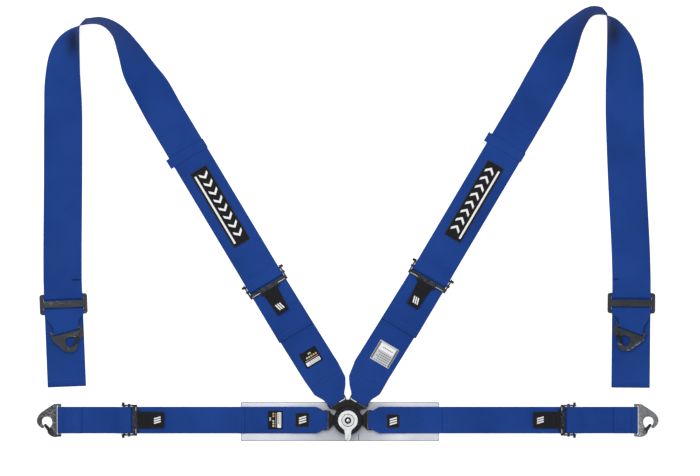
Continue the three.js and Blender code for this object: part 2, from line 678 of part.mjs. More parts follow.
function addPatch(name, frame, u0, u1, v0, v1, z, material) {
  piece(name, plate(roundedRectangle(u0, u1, v0, v1, 2), z, z + 0.8, 3), material, frame.group);
}

const frames = {};
const sockets = {};
for (const [name, belt] of Object.entries(BELTS)) {
  frames[name] = planFrame([0, 0], belt.angle, belt.offset);
  sockets[name] = planFrame([0, 0], belt.angle);
}

for (const name of ['left_lap', 'right_lap']) {
  const belt = BELTS[name];
  const frame = frames[name];
  addTongueEnd(name, belt, frame);
  piece(`${name}_hook_strap`, ribbon(along(lapHookSideProfile(belt), frame, belt.web)), 'webbing');
  addAdjuster(name, belt, frame);
  const bar = frame.at(belt.bar, 0, FLOOR + WRAP_HOOK);
  addHook(name, belt.web, bar, belt.angle, belt.hookMirror, belt.steel);
}

function keeperSleeve() {
  const { length, wall, height, from, to } = KEEPER;
  const outer = box(0, length, from, to, 0, height);
  return cut(outer, box(-1, length + 1, from + wall, to - wall, wall, height - wall));
}

for (const name of ['left_shoulder', 'right_shoulder']) {
  const belt = BELTS[name];
  const frame = frames[name];
  addTongueEnd(name, belt, frame);
  piece(`${name}_hook_strap`, ribbon(shoulderHookSide(belt, frame)), 'webbing');
  addAdjuster(name, belt, frame);
  const hookHeight = FLOOR + LAYER + WRAP_HOOK;
  const bar = new THREE.Vector3(belt.rearBar[0], belt.rearBar[1], hookHeight);
  addHook(name, HOOK_WIDTH, bar, belt.rearAngle - 90, -belt.side, belt.steel);
  const leg = legFrame(belt);
  const slide = piece(`${name}_three_bar_slide`, threeBarSlide(), 'dark_steel');
  slide.position.copy(leg.at(0, 0));
  slide.rotation.z = Math.atan2(leg.down.y, leg.down.x);
  const keeper = piece(`${name}_keeper`, keeperSleeve(), 'webbing', frame.group);
  keeper.position.x = belt.keeper;
  const patchFrom = belt.keeper - 196;
  addPatch(`${name}_patch`, frame, patchFrom, patchFrom + 168, -18, 18, WEB + GAP, 'black_fabric');
}

// Patches and labels, each on the top layer of webbing where it is sewn
const onStrap = WEB + GAP;
const onLapStrap = PAD.thickness + GAP + WEB + LAYER + GAP;
addPatch('left_lap_patch', frames.left_lap, 76, 102, -14, 13, onLapStrap, 'black_fabric');
addPatch('right_lap_patch', frames.right_lap, 76, 100, -15, 11, onLapStrap, 'black_fabric');
addPatch('left_lap_label', frames.left_lap, 127, 156, -18, 18, onLapStrap - LAYER, 'black_fabric');
addPatch('left_shoulder_label', frames.left_shoulder, 126, 158, -19, 17, onStrap, 'black_fabric');
addPatch('right_shoulder_label', frames.right_shoulder, 126, 168, -22, 20, onStrap, 'silver_label');

// Buckle
const padShape = roundedRectangle(
  PAD.x - PAD.width / 2, PAD.x + PAD.width / 2, PAD.y - PAD.height / 2, PAD.y + PAD.height / 2, PAD.corner,
);
piece('back_pad', plate(padShape, 0, PAD.thickness, 4), 'pad_plastic');
piece('buckle_back_plate', disc(BACK_PLATE.radius, BACK_PLATE.bottom, BACK_PLATE.top, 36), 'black_steel');

function housing() {
  const { radius, inner, bottom, cavityTop, top } = HOUSING;
  const shaftHole = ROTOR.neck + 0.5;
  const shell = turned([
    [inner, bottom], [radius, bottom], [radius, top - 2], [radius - 2, top], [shaftHole, top],
    [shaftHole, cavityTop], [inner, cavityTop], [inner, bottom],
  ], 36);
  const slots = Object.values(sockets).map((frame) => {
    const half = TONGUE.half + GAP;
    const slot = box(15, 40, -TONGUE.nose - 0.6, TONGUE.nose + 0.6, TONGUE.mid - half, TONGUE.mid + half);
    frame.group.updateMatrixWorld(true);
    return slot.applyMatrix4(frame.group.matrixWorld);
  });
  const hood = outline([...HOOD.outline, ...HOOD.outline.map(([x, y]) => [-x, y]).reverse()]);
  const bore = disc(inner, bottom - 1, cavityTop, 36);
  return join(cut(shell, ...slots), cut(plate(hood, HOOD.bottom, HOOD.top), bore));
}

function rotor() {
  const { hub, flange, neck, bore, bottom, flangeBottom, flangeTop } = ROTOR;
  return turned([
    [bore, bottom], [hub, bottom], [hub, flangeBottom], [flange, flangeBottom], [flange, flangeTop],
    [neck, flangeTop], [neck, HOUSING.top], [bore, HOUSING.top], [bore, bottom],
  ], 24);
}

function spindle() {
  const { radius, flange, bottom, flangeTop, top } = SPINDLE;
  return turned([
    [0, bottom], [flange, bottom], [flange, flangeTop], [radius, flangeTop], [radius, top], [0, top],
  ], 24);
}

// A disc whose tail leaves it through a concave neck.
function leverShape() {
  const { radius, tail, tailWidth, neck } = LEVER;
  const half = tailWidth / 2;
  const flare = 5;
  const meet = Math.asin((half + flare) / radius);
  const shape = new THREE.Shape();
  shape.absarc(0, 0, radius, -Math.PI / 2 + meet, 1.5 * Math.PI - meet, false);
  shape.quadraticCurveTo(-half, -radius, -half, -radius - neck);
  shape.lineTo(-half + 1, -tail + 4);
  shape.quadraticCurveTo(0, -tail - 3, half - 1, -tail + 4);
  shape.lineTo(half, -radius - neck);
  shape.quadraticCurveTo(half, -radius, half + flare, -Math.cos(meet) * radius);
  return shape;
}

function torsionSpring() {
  const { radius, wire, bottom, top, turns } = SPRING;
  const steps = 28;
  const points = Array.from({ length: steps + 1 }, (_, i) => {
    const a = (2 * Math.PI * turns * i) / steps;
    const z = bottom + ((top - bottom) * i) / steps;
    return new THREE.Vector3(radius * Math.cos(a), radius * Math.sin(a), z);
  });
  const section = new THREE.Shape();
  section.absarc(0, 0, wire / 2, 0, 2 * Math.PI, false);
  const extrudePath = new THREE.CatmullRomCurve3(points);
  return new THREE.ExtrudeGeometry(section, { steps, extrudePath, curveSegments: 3, bevelEnabled: false });
}

function pinShape() {
  const { radius, bottom, top } = PIN;
  return turned([[0, bottom], [radius - 0.6, bottom], [radius, bottom + 0.8], [radius, top], [0, top]], 12);
}

piece('buckle_housing', housing(), 'black_steel');
piece('cam_rotor', rotor(), 'dark_steel');
piece('lever_spring', torsionSpring(), 'bright_steel');
piece('spindle', spindle(), 'dark_steel');
piece('release_lever', plate(leverShape(), LEVER.bottom, LEVER.top, 16), 'bright_steel');
piece('lever_cap', disc(CAP.radius, CAP.bottom, CAP.top, 24), 'bright_steel');
for (const [name, frame] of Object.entries(sockets)) {
  const pinName = name === 'left_lap' ? 'fixed_tongue_pin' : `${name}_latch_pin`;
  const pin = piece(pinName, pinShape(), 'bright_steel', frame.group);
  pin.position.x = PIN.at;
}

export default harness;
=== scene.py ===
"""Four-point racing harness laid flat: fine webbing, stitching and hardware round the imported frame."""
import math
from functools import partial

import bpy
from mathutils import Matrix, Vector, noise


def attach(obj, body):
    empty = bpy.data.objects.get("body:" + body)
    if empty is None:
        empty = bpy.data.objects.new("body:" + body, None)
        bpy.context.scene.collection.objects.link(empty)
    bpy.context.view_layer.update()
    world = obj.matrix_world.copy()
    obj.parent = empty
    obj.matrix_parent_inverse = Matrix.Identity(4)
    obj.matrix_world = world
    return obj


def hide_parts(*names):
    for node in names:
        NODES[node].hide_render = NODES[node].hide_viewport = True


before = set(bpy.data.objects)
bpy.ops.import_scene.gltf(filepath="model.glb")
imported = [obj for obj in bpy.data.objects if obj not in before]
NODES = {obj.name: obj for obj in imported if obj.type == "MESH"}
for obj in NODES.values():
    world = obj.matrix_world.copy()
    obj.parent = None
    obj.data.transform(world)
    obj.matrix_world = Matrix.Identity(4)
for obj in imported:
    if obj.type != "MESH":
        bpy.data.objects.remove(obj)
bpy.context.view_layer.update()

MM = 0.001

# ---- Driving sizes, in millimetres ------------------------------------------------------

SHOULDER_WIDTH = 75
LAP_WIDTH = 52
WEB = 1.4
GAP = 0.3
LAYER = WEB + GAP
FLOOR = WEB / 2

PAD_TOP = 1.0
PAD_STEP = 14
TONGUE_MID = 7.8
TONGUE_BAR = 42.5
WRAP_TONGUE = 1.2 + GAP + WEB / 2
SEWN = 45
FIXED_BAR = (22, 3.7, 2.0)  # distance from the cross-bar towards the anchor, height, radius
LOCK_BAR = (12, 6.2, 2.6)
TAB_ROD = (-7, 7.9, 1.2)
WRAP_HOOK = 2.6 + GAP + WEB / 2
HOOK_WIDTH = 50
SLIDE_HALF = 20
SLIDE_BAR = 7.5
SLIDE_UNDER = 2.0
SLIDE_SPREAD = 2.4  # pressed flat in the slide, the webbing spreads to fill it
SLIDE_OVER = 4.6
ROLL_UP = (260, 110)  # lengths before a loop's edges cross between which the strap starts to roll
LEAN = (0.07, 10)  # first share of the quarter turn past the crossing, and the length it takes
LAP_GATHER = (41, 64, 33)  # where the webbing starts and stops widening, and its width at the slot
SHOULDER_GATHER = (36, 86, 32)
PAD = dict(width=386, height=76, x=-15.6, y=-3, corner=6)
KEEPER = dict(length=20, wall=1.2, height=4.4, low=-39, high=44.5)
KEEPER_RISE = KEEPER["wall"] + GAP
PULL_TAB = dict(length=50, layer=0.95)

BELTS = {
    "left_lap": dict(
        angle=180, offset=0, web=LAP_WIDTH, adjuster=414.5, hem=201, bar=562, pad_end=212, bow=0,
    ),
    "right_lap": dict(
        angle=0, offset=0, web=LAP_WIDTH, adjuster=418, hem=185, bar=561, pad_end=181, bow=0,
    ),
    "left_shoulder": dict(
        angle=120.9, offset=0, web=SHOULDER_WIDTH, adjuster=301.5, hem=197, keeper=597, side=1,
        slide=(-554.5, 226), rear_bar=(-549.5, 175), rear_angle=15, tail=(-548, 65), landing=700, bow=-4,
        # The last setting on the next line centres the painted shade in the steep part of the loop.
        leg_line=-521, roll_over=245, roll_delay=15, loop_shade_centre=(-533, 738),
        outer=[
            (-594, 330), (-593, 470), (-592.5, 600), (-591, 663), (-580, 720), (-558, 752), (-526, 768.5),
        ],
        inner=[(-484, 771), (-461, 752), (-449, 716), (-437, 669), (-415.5, 626)],
    ),
    "right_shoulder": dict(
        angle=59.4, offset=5, web=SHOULDER_WIDTH, adjuster=311.5, hem=204, keeper=604, side=-1,
        slide=(552.5, 228), rear_bar=(551.5, 177), rear_angle=-20, tail=(551, 63), landing=705, bow=5.5,
        # The last setting on the next line centres the painted shade in the steep part of the loop.
        leg_line=503, roll_over=200, roll_delay=0, loop_shade_centre=(516, 757),
        outer=[(589, 330), (582, 470), (577.5, 590), (575.5, 670), (567, 718), (548, 757), (518, 785)],
        inner=[(479, 789), (460, 763), (449, 728), (433, 676), (409, 630)],
    ),
}


def is_lap(belt):
    return "pad_end" in belt


# ---- Camera, lights and floor -----------------------------------------------------------

VIEW_CENTRE = (0.004, 0.355)
VIEW_HEIGHT = 12.0
VIEW_WIDTH = 1.365  # width of the floor that the frame takes in


def make_camera():
    data = bpy.data.cameras.new("camera")
    data.sensor_width = 36
    data.lens = data.sensor_width * VIEW_HEIGHT / VIEW_WIDTH
    data.dof.use_dof = False
    camera = bpy.data.objects.new("camera", data)
    camera.location = (*VIEW_CENTRE, VIEW_HEIGHT)
    bpy.context.scene.collection.objects.link(camera)
    bpy.context.scene.camera = camera


def area_light(name, location, aim, size, power, colour=(1, 1, 1)):
    data = bpy.data.lights.new(name, "AREA")
    data.shape = "RECTANGLE"
    data.size, data.size_y = size
    data.energy = power
    data.color = colour
    light = bpy.data.objects.new(name, data)
    light.location = location
    light.rotation_euler = (Vector(aim) - Vector(location)).to_track_quat("-Z", "Y").to_euler()
    bpy.context.scene.collection.objects.link(light)


def make_studio():
    scene = bpy.context.scene
    scene.view_settings.view_transform = "Standard"
    world = bpy.data.worlds.new("studio")
    scene.world = world
    world.use_nodes = True
    background = world.node_tree.nodes["Background"]
    background.inputs["Color"].default_value = (0.97, 0.98, 1, 1)
    background.inputs["Strength"].default_value = 0.62
    area_light("overhead", (-0.4, 1.0, 2.6), (0, 0.35, 0), (2.6, 1.8), 46)
    area_light("side", (2.2, -0.9, 1.7), (0, 0.3, 0), (2.0, 1.6), 9)
    bpy.ops.mesh.primitive_plane_add(size=14, location=(0, 0.35, -0.0008))
    floor = bpy.context.object
    floor.name = "floor"
    material = bpy.data.materials.new("floor")
    material.use_nodes = True
    shader = material.node_tree.nodes["Principled BSDF"]
    shader.inputs["Base Color"].default_value = (0.6, 0.6, 0.6, 1)
    shader.inputs["Roughness"].default_value = 0.9
    shader.inputs["Emission Color"].default_value = (1, 1, 1, 1)
    shader.inputs["Emission Strength"].default_value = 0.72
    floor.data.materials.append(material)


# ---- Material building ------------------------------------------------------------------


MATERIALS = {}


class Nodes:
    """A material and its node tree with one-line helpers."""

    def __init__(self, name, colour=(0.5, 0.5, 0.5), roughness=0.5, metallic=0.0):
        MATERIALS[name] = material = bpy.data.materials.new(name)
        material.use_nodes = True
        self.tree = material.node_tree
        self.shader = self.tree.nodes["Principled BSDF"]
        self.set("Base Color", (*colour, 1))
        self.set("Roughness", roughness)
        self.set("Metallic", metallic)

    def set(self, socket, value):
        self.shader.inputs[socket].default_value = value

    def feed(self, socket, source):
        self.link(source, self.shader.inputs[socket])

    def add(self, kind, **values):
        node = self.tree.nodes.new(kind)
        for key, value in values.items():
            setattr(node, key, value)
        return node

    def link(self, source, target):
        self.tree.links.new(source, target)

    def math(self, operation, a, b=0.0):
        node = self.add("ShaderNodeMath", operation=operation)
        for socket, value in zip(node.inputs, (a, b)):
            if isinstance(value, (int, float)):
                socket.default_value = value
            else:
                self.link(value, socket)
        return node.outputs[0]

    def weighted(self, *terms):
        """The sum of values times their weights."""
        products = [self.math("MULTIPLY", value, weight) for value, weight in terms]
        total = products[0]
        for product in products[1:]:
            total = self.math("ADD", total, product)
        return total

    def half_wave(self, value):
        """A value from -1 to 1 moved to 0 to 1."""
        return self.math("MULTIPLY", self.math("ADD", value, 1.0), 0.5)

    def place(self):
        """Object coordinates in metres."""
        return self.add("ShaderNodeTexCoord").outputs["Object"]

    def attribute(self, name):
        """The x, y and z of a point attribute."""
        source = self.add("ShaderNodeAttribute", attribute_name=name)
        split = self.add("ShaderNodeSeparateXYZ")
        self.link(source.outputs["Vector"], split.inputs[0])
        return split.outputs

    def noise(self, scale, detail=3.0, vector=None):
        node = self.add("ShaderNodeTexNoise")
        node.inputs["Scale"].default_value = scale
        node.inputs["Detail"].default_value = detail
        self.link(vector or self.place(), node.inputs["Vector"])
        return node.outputs["Fac"]

    def ramp(self, value, stops):
        node = self.add("ShaderNodeValToRGB")
        elements = node.color_ramp.elements
        while len(elements) < len(stops):
            elements.new(0.5)
        for element, (position, colour) in zip(elements, stops):
            element.position = position
            element.color = (*colour, 1)
        self.link(value, node.inputs["Fac"])
        return node.outputs["Color"]

    def mix(self, factor, a, b, blend="MIX"):
        node = self.add("ShaderNodeMix", data_type="RGBA", blend_type=blend)
        for socket, value in zip((node.inputs[0], node.inputs[6], node.inputs[7]), (factor, a, b)):
            if isinstance(value, (int, float)):
                socket.default_value = value
            elif isinstance(value, tuple):
                socket.default_value = (*value, 1)
            else:
                self.link(value, socket)
        return node.outputs[2]

    def bump(self, height, strength, distance):
        node = self.add("ShaderNodeBump")
        node.inputs["Strength"].default_value = strength
        node.inputs["Distance"].default_value = distance
        self.link(height, node.inputs["Height"])
        self.feed("Normal", node.outputs[0])

    def spread(self, value, low, high):
        """Maps 0..1 to low..high."""
        node = self.add("ShaderNodeMapRange")
        node.inputs["To Min"].default_value = low
        node.inputs["To Max"].default_value = high
        self.link(value, node.inputs["Value"])
        return node.outputs[0]


RIB, FLOAT_PITCH = 1.5, 1.9  # spacing of the warp ribs and of the slanted floats, in millimetres


def webbing_material(name, dark, mid, light):
    """Woven webbing: long warp ribs crossed by slanted floats, on the strap's own millimetres."""
    m = Nodes(name, mid, 0.8)
    m.set("Sheen Weight", 0.04)
    m.set("Sheen Roughness", 0.5)
    m.set("Sheen Tint", (0.2, 0.4, 1, 1))
    m.set("Specular IOR Level", 0.1)
    across, along, painted_shade = m.attribute("strap")
    ribs = m.math("ABSOLUTE", m.math("SINE", m.math("MULTIPLY", across, math.pi / RIB)))
    # Each rib is a column of slanted floats that lean left and right by turns.
    column = m.math("PINGPONG", m.math("ADD", across, 1000.0), RIB)
    phase = m.weighted((along, 2 * math.pi / FLOAT_PITCH), (column, 2.6))
    floats = m.half_wave(m.math("SINE", phase))
    weave = m.weighted((ribs, 0.6), (floats, 0.4))
    patches = m.noise(9, 4)
    fuzz = m.noise(900, 2)
    tone = m.weighted((weave, 0.42), (patches, 0.48), (fuzz, 0.12))
    colour = m.ramp(tone, [(0.18, dark), (0.5, mid), (0.86, light)])
    # Painted shade: in a loop's steep part the colour is mixed towards near-black navy, standing in for the
    # shade there.
    m.feed("Base Color", m.mix(painted_shade, colour, (0.001, 0.002, 0.012)))
    m.feed("Roughness", m.spread(weave, 0.88, 0.66))
    m.bump(m.weighted((weave, 1.0), (fuzz, 0.3)), 0.55, 0.00035)


def thread_material(name, colour):
    """Bonded thread: twisted plies along each stitch."""
    m = Nodes(name, colour, 0.6)
    m.set("Sheen Weight", 0.06)
    m.set("Specular IOR Level", 0.25)
    grain = m.noise(2600, 2)
    light = [min(1, c * 1.5 + 0.01) for c in colour]
    dark = [c * 0.6 for c in colour]
    m.feed("Base Color", m.ramp(grain, [(0.3, dark), (0.7, light)]))
    m.bump(grain, 0.5, 0.0002)


def fabric_material(name, dark, light, pitch=0.8):
    """Tight plain weave for sewn patches and tabs."""
    m = Nodes(name, light, 0.86)
    m.set("Sheen Weight", 0.08)
    m.set("Specular IOR Level", 0.2)
    x, y, _ = m.attribute("strap")
    warp, weft = (m.math("SINE", m.math("MULTIPLY", value, math.pi / pitch)) for value in (x, y))
    weave = m.half_wave(m.math("MULTIPLY", warp, weft))
    tone = m.weighted((weave, 0.6), (m.noise(700, 3), 0.4))
    m.feed("Base Color", m.ramp(tone, [(0.2, dark), (0.8, light)]))
    m.bump(weave, 0.5, 0.0003)


def metal_material(name, dark, light, roughness, metallic, wear=None, specular=0.5, scale=160, stretch=1):
    """Coated or plated steel: mottled coat, fine grain (stretched across the brushing) and, where
    asked, bright worn edges."""
    m = Nodes(name, light, roughness, metallic)
    m.set("Specular IOR Level", specular)
    scaled = m.add("ShaderNodeVectorMath", operation="MULTIPLY")
    scaled.inputs[1].default_value = (1, stretch, 1)
    m.link(m.place(), scaled.inputs[0])
    grain = m.noise(scale, 4, scaled.outputs[0])
    tone = m.weighted((m.noise(45, 5), 0.55), (grain, 0.45))
    colour = m.ramp(tone, [(0.3, dark), (0.7, light)])
    if wear:
        black, white = (0, 0, 0), (1, 1, 1)
        geometry = m.add("ShaderNodeNewGeometry")
        edge = m.ramp(geometry.outputs["Pointiness"], [(0.52, black), (0.6, white)])
        broken = m.ramp(m.noise(320, 3), [(0.42, black), (0.62, white)])
        amount = m.math("MULTIPLY", edge, broken)
        colour = m.mix(m.math("MULTIPLY", amount, 0.8), colour, wear)
    m.feed("Base Color", colour)
    m.feed("Roughness", m.spread(grain, roughness - 0.1, roughness + 0.14))
    m.bump(grain, 0.18, 0.00015)


def sheet_material(name):
    """Translucent plastic sheet, slightly clouded and creased by handling, with painted shadow that darkens
    it round the buckle.
    """
    m = Nodes(name, (0.72, 0.73, 0.74), 0.35)
    m.set("Coat Weight", 0.15)
    cloud = m.noise(14, 5)
    # Painted shadow: the sheet darkens towards the buckle at its centre, where the buckle's shade falls.
    radial = m.add("ShaderNodeVectorMath", operation="LENGTH")
    m.link(m.place(), radial.inputs[0])
    reach = m.math("MULTIPLY", radial.outputs["Value"], 8.0)
    near = m.ramp(reach, [(0.2, (0.5, 0.5, 0.51)), (0.85, (1, 1, 1))])
    base = m.ramp(cloud, [(0.3, (0.50, 0.52, 0.58)), (0.7, (0.66, 0.68, 0.74))])
    m.feed("Base Color", m.mix(0.85, base, near, "MULTIPLY"))
    m.feed("Roughness", m.spread(cloud, 0.25, 0.5))
    m.bump(m.weighted((cloud, 1.0), (m.noise(60, 2), 0.4)), 0.25, 0.0012)


def print_material(name, colour):
    """Thick woven or printed marking."""
    m = Nodes(name, colour, 0.55)
    grain = m.noise(1500, 3)
    dark = [c * 0.72 for c in colour]
    m.feed("Base Color", m.ramp(grain, [(0.3, dark), (0.6, colour)]))
    m.bump(grain, 0.35, 0.0002)


def make_materials():
    webbing_material("webbing", (0.004, 0.018, 0.11), (0.007, 0.038, 0.2), (0.016, 0.066, 0.3))
    fabric_material("black_fabric", (0.003, 0.003, 0.004), (0.011, 0.011, 0.013))
    thread_material("thread", (0.01, 0.048, 0.24))
    thread_material("black_thread", (0.009, 0.009, 0.01))
    sheet_material("pad_sheet")
    coat = metal_material
    coat("black_steel", (0.002, 0.002, 0.0025), (0.006, 0.006, 0.007), 0.32, 0.0, (0.16, 0.16, 0.16), 0.16)
    coat("dark_steel", (0.012, 0.014, 0.017), (0.027, 0.03, 0.036), 0.46, 0.35, (0.22, 0.22, 0.23), 0.3)
    coat("grey_steel", (0.1, 0.103, 0.11), (0.19, 0.195, 0.2), 0.4, 0.75, (0.42, 0.42, 0.43))
    coat("bright_steel", (0.5, 0.505, 0.51), (0.72, 0.725, 0.73), 0.27, 0.92, scale=420, stretch=7)
    # Bright bare steel for the adjusters' bar lips: a painted highlight along the black cross-bars.
    coat("worn_steel", (0.4, 0.4, 0.41), (0.6, 0.6, 0.61), 0.3, 0.7)
    coat("silver_label", (0.36, 0.37, 0.38), (0.5, 0.51, 0.52), 0.4, 0.25, scale=30)
    print_material("white_mark", (0.82, 0.82, 0.81))
    print_material("grey_mark", (0.1, 0.105, 0.115))
    print_material("dark_mark", (0.05, 0.05, 0.055))
    print_material("amber_mark", (0.62, 0.36, 0.12))
    print_material("rose_mark", (0.6, 0.4, 0.4))
    print_material("green_mark", (0.55, 0.62, 0.4))
    print_material("pad_edge", (0.26, 0.27, 0.29))


# ---- Meshes -----------------------------------------------------------------------------


def make_piece(name, vertices, faces, material, body, slot, smooth=True, strap=None):
    mesh = bpy.data.meshes.new(name)
    mesh.from_pydata([tuple(v) for v in vertices], [], faces)
    if strap is not None:
        data = mesh.attributes.new("strap", "FLOAT_VECTOR", "POINT").data
        data.foreach_set("vector", [c for v in strap for c in v])
    mesh.polygons.foreach_set("use_smooth", [smooth] * len(mesh.polygons))
    mesh.update()
    mesh.materials.append(MATERIALS[material])
    piece = bpy.data.objects.new(name, mesh)
    bpy.context.scene.collection.objects.link(piece)
    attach(piece, body)
    return piece


def skin(rings, looped=False):
    """Vertices and faces over rings of equal size, joined end to end if looped and capped if not."""
    vertices = [Vector(p) * MM for ring in rings for p in ring]
    size, total = len(rings[0]), len(vertices)
    faces = []
    for i in range(len(rings) if looped else len(rings) - 1):
        for k in range(size):
            a, b = i * size + k, i * size + (k + 1) % size
            faces.append((a, b, (b + size) % total, (a + size) % total))
    if not looped:
        faces.append(tuple(reversed(range(size))))
        faces.append(tuple(range(total - size, total)))
    return vertices, faces


def joined(parts):
    """Several skins as one mesh."""
    vertices, faces = [], []
    for part_vertices, part_faces in parts:
        base = len(vertices)
        vertices += part_vertices
        faces += [tuple(base + k for k in face) for face in part_faces]
    return vertices, faces


def circle(count, start=0.0):
    """Cosine and sine of evenly spaced angles round a full turn."""
    angles = [start + 2 * math.pi * k / count for k in range(count)]
    return [(math.cos(a), math.sin(a)) for a in angles]


def plan_frame(degrees, offset=0.0, origin=(0.0, 0.0)):
    """A frame in the plane: origin, forward and across, in millimetres."""
    a = math.radians(degrees)
    forward = Vector((math.cos(a), math.sin(a), 0))
    across = Vector((-math.sin(a), math.cos(a), 0))
    return Vector((*origin, 0)) + across * offset, forward, across


def at(plan, u, v, z):
    origin, forward, across = plan
    return origin + forward * u + across * v + Vector((0, 0, z))


FRAMES = {name: plan_frame(belt["angle"], belt["offset"]) for name, belt in BELTS.items()}


def smoothstep(x, low, high):
    t = min(max((x - low) / (high - low), 0), 1)
    return t * t * (3 - 2 * t)


# ---- Webbing ----------------------------------------------------------------------------


def ramp(x0, z0, x1, z1, steps=10):
    shares = [i / steps for i in range(steps + 1)]
    return [(x0 + (x1 - x0) * t, z0 + (z1 - z0) * t * t * (3 - 2 * t)) for t in shares]


def wrap(x, z, radius, start, end, steps=14):
    angles = [math.radians(start + (end - start) * i / steps) for i in range(steps + 1)]
    return [(x + radius * math.cos(a), z + radius * math.sin(a)) for a in angles]


def lay_height(belt, u):
    """Mid-height of the lowest layer: lap belts step up on to the back pad near the buckle."""
    if not is_lap(belt):
        return FLOOR
    return FLOOR + (PAD_TOP + GAP) * (1 - smoothstep(u, belt["pad_end"], belt["pad_end"] + PAD_STEP))


def tongue_side_profile(belt):
    base = lay_height(belt, 0)
    turn_back = 105
    fixed = belt["adjuster"] + FIXED_BAR[0]
    low, high = TONGUE_MID - WRAP_TONGUE, TONGUE_MID + WRAP_TONGUE
    turn = FIXED_BAR[2] + GAP + WEB / 2
    points = [(turn_back, base)]
    points += ramp(66, base, 51, low)
    points += wrap(TONGUE_BAR, TONGUE_MID, WRAP_TONGUE, 270, 90)
    points += ramp(51, high, 76, base + LAYER)
    points += ramp(turn_back + 3, base + LAYER, turn_back + 15, base)
    if is_lap(belt):
        points += ramp(belt["pad_end"], base, belt["pad_end"] + PAD_STEP, FLOOR)
    points += wrap(fixed, FIXED_BAR[1], turn, -90, 90)
    points += ramp(fixed - 0.8, FIXED_BAR[1] + turn - 0.1, fixed - 6.5, FLOOR + LAYER)
    points.append((belt["adjuster"] - SEWN, FLOOR + LAYER))
    return points


def adjuster_profile(belt, far_side):
    a = belt["adjuster"]
    lock_turn = LOCK_BAR[2] + GAP + WEB / 2
    bend = 2.1
    lay = FLOOR + LAYER
    points = ramp(min(a + 46, far_side), FLOOR, a + 24.5, FIXED_BAR[1] + 4.9, 14)
    points += wrap(a + LOCK_BAR[0], LOCK_BAR[1], lock_turn, 80, 180, 12)
    points += wrap(a + LOCK_BAR[0] - lock_turn - bend, LOCK_BAR[1], bend, 0, -90, 8)
    points += ramp(a - SEWN - 1, lay + LAYER, a - SEWN - 10, lay)
    start = max(belt["pad_end"] + PAD_STEP, belt["hem"] + 1) if is_lap(belt) else belt["hem"] + 40
    for i in range(9):
        u = start + (belt["hem"] - start) * i / 8
        points.append((u, lay_height(belt, u) + LAYER))
    return points


def lap_hook_side_profile(belt):
    bar = belt["bar"]
    points = [(bar - 43, FLOOR + LAYER)]
    points += ramp(bar - 12, FLOOR + LAYER, bar - 1, FLOOR + 2 * WRAP_HOOK)
    points += wrap(bar, FLOOR + WRAP_HOOK, WRAP_HOOK, 90, -90)
    return points + adjuster_profile(belt, bar)


def slide_profile(hook_at):
    """Rear end of a shoulder belt in (s, z): tail to hook and back, then through the slide."""
    over = SLIDE_OVER + GAP + FLOOR
    under = SLIDE_UNDER - GAP - FLOOR
    edge = SLIDE_HALF - SLIDE_BAR
    hook_height = FLOOR + LAYER + WRAP_HOOK
    axis = edge + 0.5
    middle = (over + under) / 2
    outer_turn = over + LAYER - middle
    dip = middle - FLOOR - 0.1
    rise = 2.6
    tail_part = [(edge + 34, FLOOR)] + ramp(edge + 16, FLOOR, edge + 8, under, 6)
    to_hook = wrap(axis, middle, (over - under) / 2, -90, -270)
    to_hook += ramp(edge + 9, over, hook_at - 8, FLOOR + LAYER)
    to_hook += wrap(hook_at, hook_height, WRAP_HOOK, -90, 90)
    to_hook += ramp(hook_at - 3, hook_height + WRAP_HOOK, edge + 9, over + LAYER)
    through = wrap(axis, middle, outer_turn, 90, 180, 8)
    through += wrap(axis - outer_turn - dip, middle, dip, 0, -90, 8)
    through += wrap(-axis + rise + dip, over - rise, dip, -90, -180, 8)
    through += wrap(-axis, over - rise, rise, 0, 90, 8)
    through += ramp(-SLIDE_HALF - 1, over, -SLIDE_HALF - 26, FLOOR)
    return tail_part, to_hook, through


def smooth_route(points, spacing=5.0):
    """Centripetal Catmull-Rom curve through the points, resampled."""
    ends = [points[0] * 2 - points[1], *points, points[-1] * 2 - points[-2]]
    fine = []
    for p0, p1, p2, p3 in zip(ends, ends[1:], ends[2:], ends[3:]):
        d0, d1, d2 = ((b - a).length ** 0.5 for a, b in ((p0, p1), (p1, p2), (p2, p3)))
        t1 = ((p1 - p0) / d0 - (p2 - p0) / (d0 + d1) + (p2 - p1) / d1) * d1
        t2 = ((p2 - p1) / d1 - (p3 - p1) / (d1 + d2) + (p3 - p2) / d2) * d1
        for i in range(40):
            t = i / 40
            cubic = p1 * (2 * t**3 - 3 * t**2 + 1) + p2 * (3 * t**2 - 2 * t**3)
            fine.append(cubic + t1 * (t**3 - 2 * t**2 + t) + t2 * (t**3 - t**2))
    return resampled(fine + [points[-1]], spacing)


def resampled(path, spacing):
    """Points at about the given spacing along a polyline, as (point, tangent, distance)."""
    lengths = [0.0]
    for a, b in zip(path, path[1:]):
        lengths.append(lengths[-1] + (b - a).length)
    count = max(2, round(lengths[-1] / spacing))
    stops, k = [], 0
    for i in range(count + 1):
        goal = lengths[-1] * i / count
        while k < len(path) - 2 and lengths[k + 1] < goal:
            k += 1
        a, b = path[k], path[k + 1]
        share = min(1.0, (goal - lengths[k]) / (b - a).length)
        stops.append((a.lerp(b, share), (b - a).normalized(), goal))
    return stops


def leg_frame(belt):
    start, tail = Vector((*belt["slide"], 0)), Vector((*belt["tail"], 0))
    down = (tail - start).normalized()
    across = Vector((-down.y, down.x, 0)) * belt["side"]
    return start, down, across, (tail - start).length


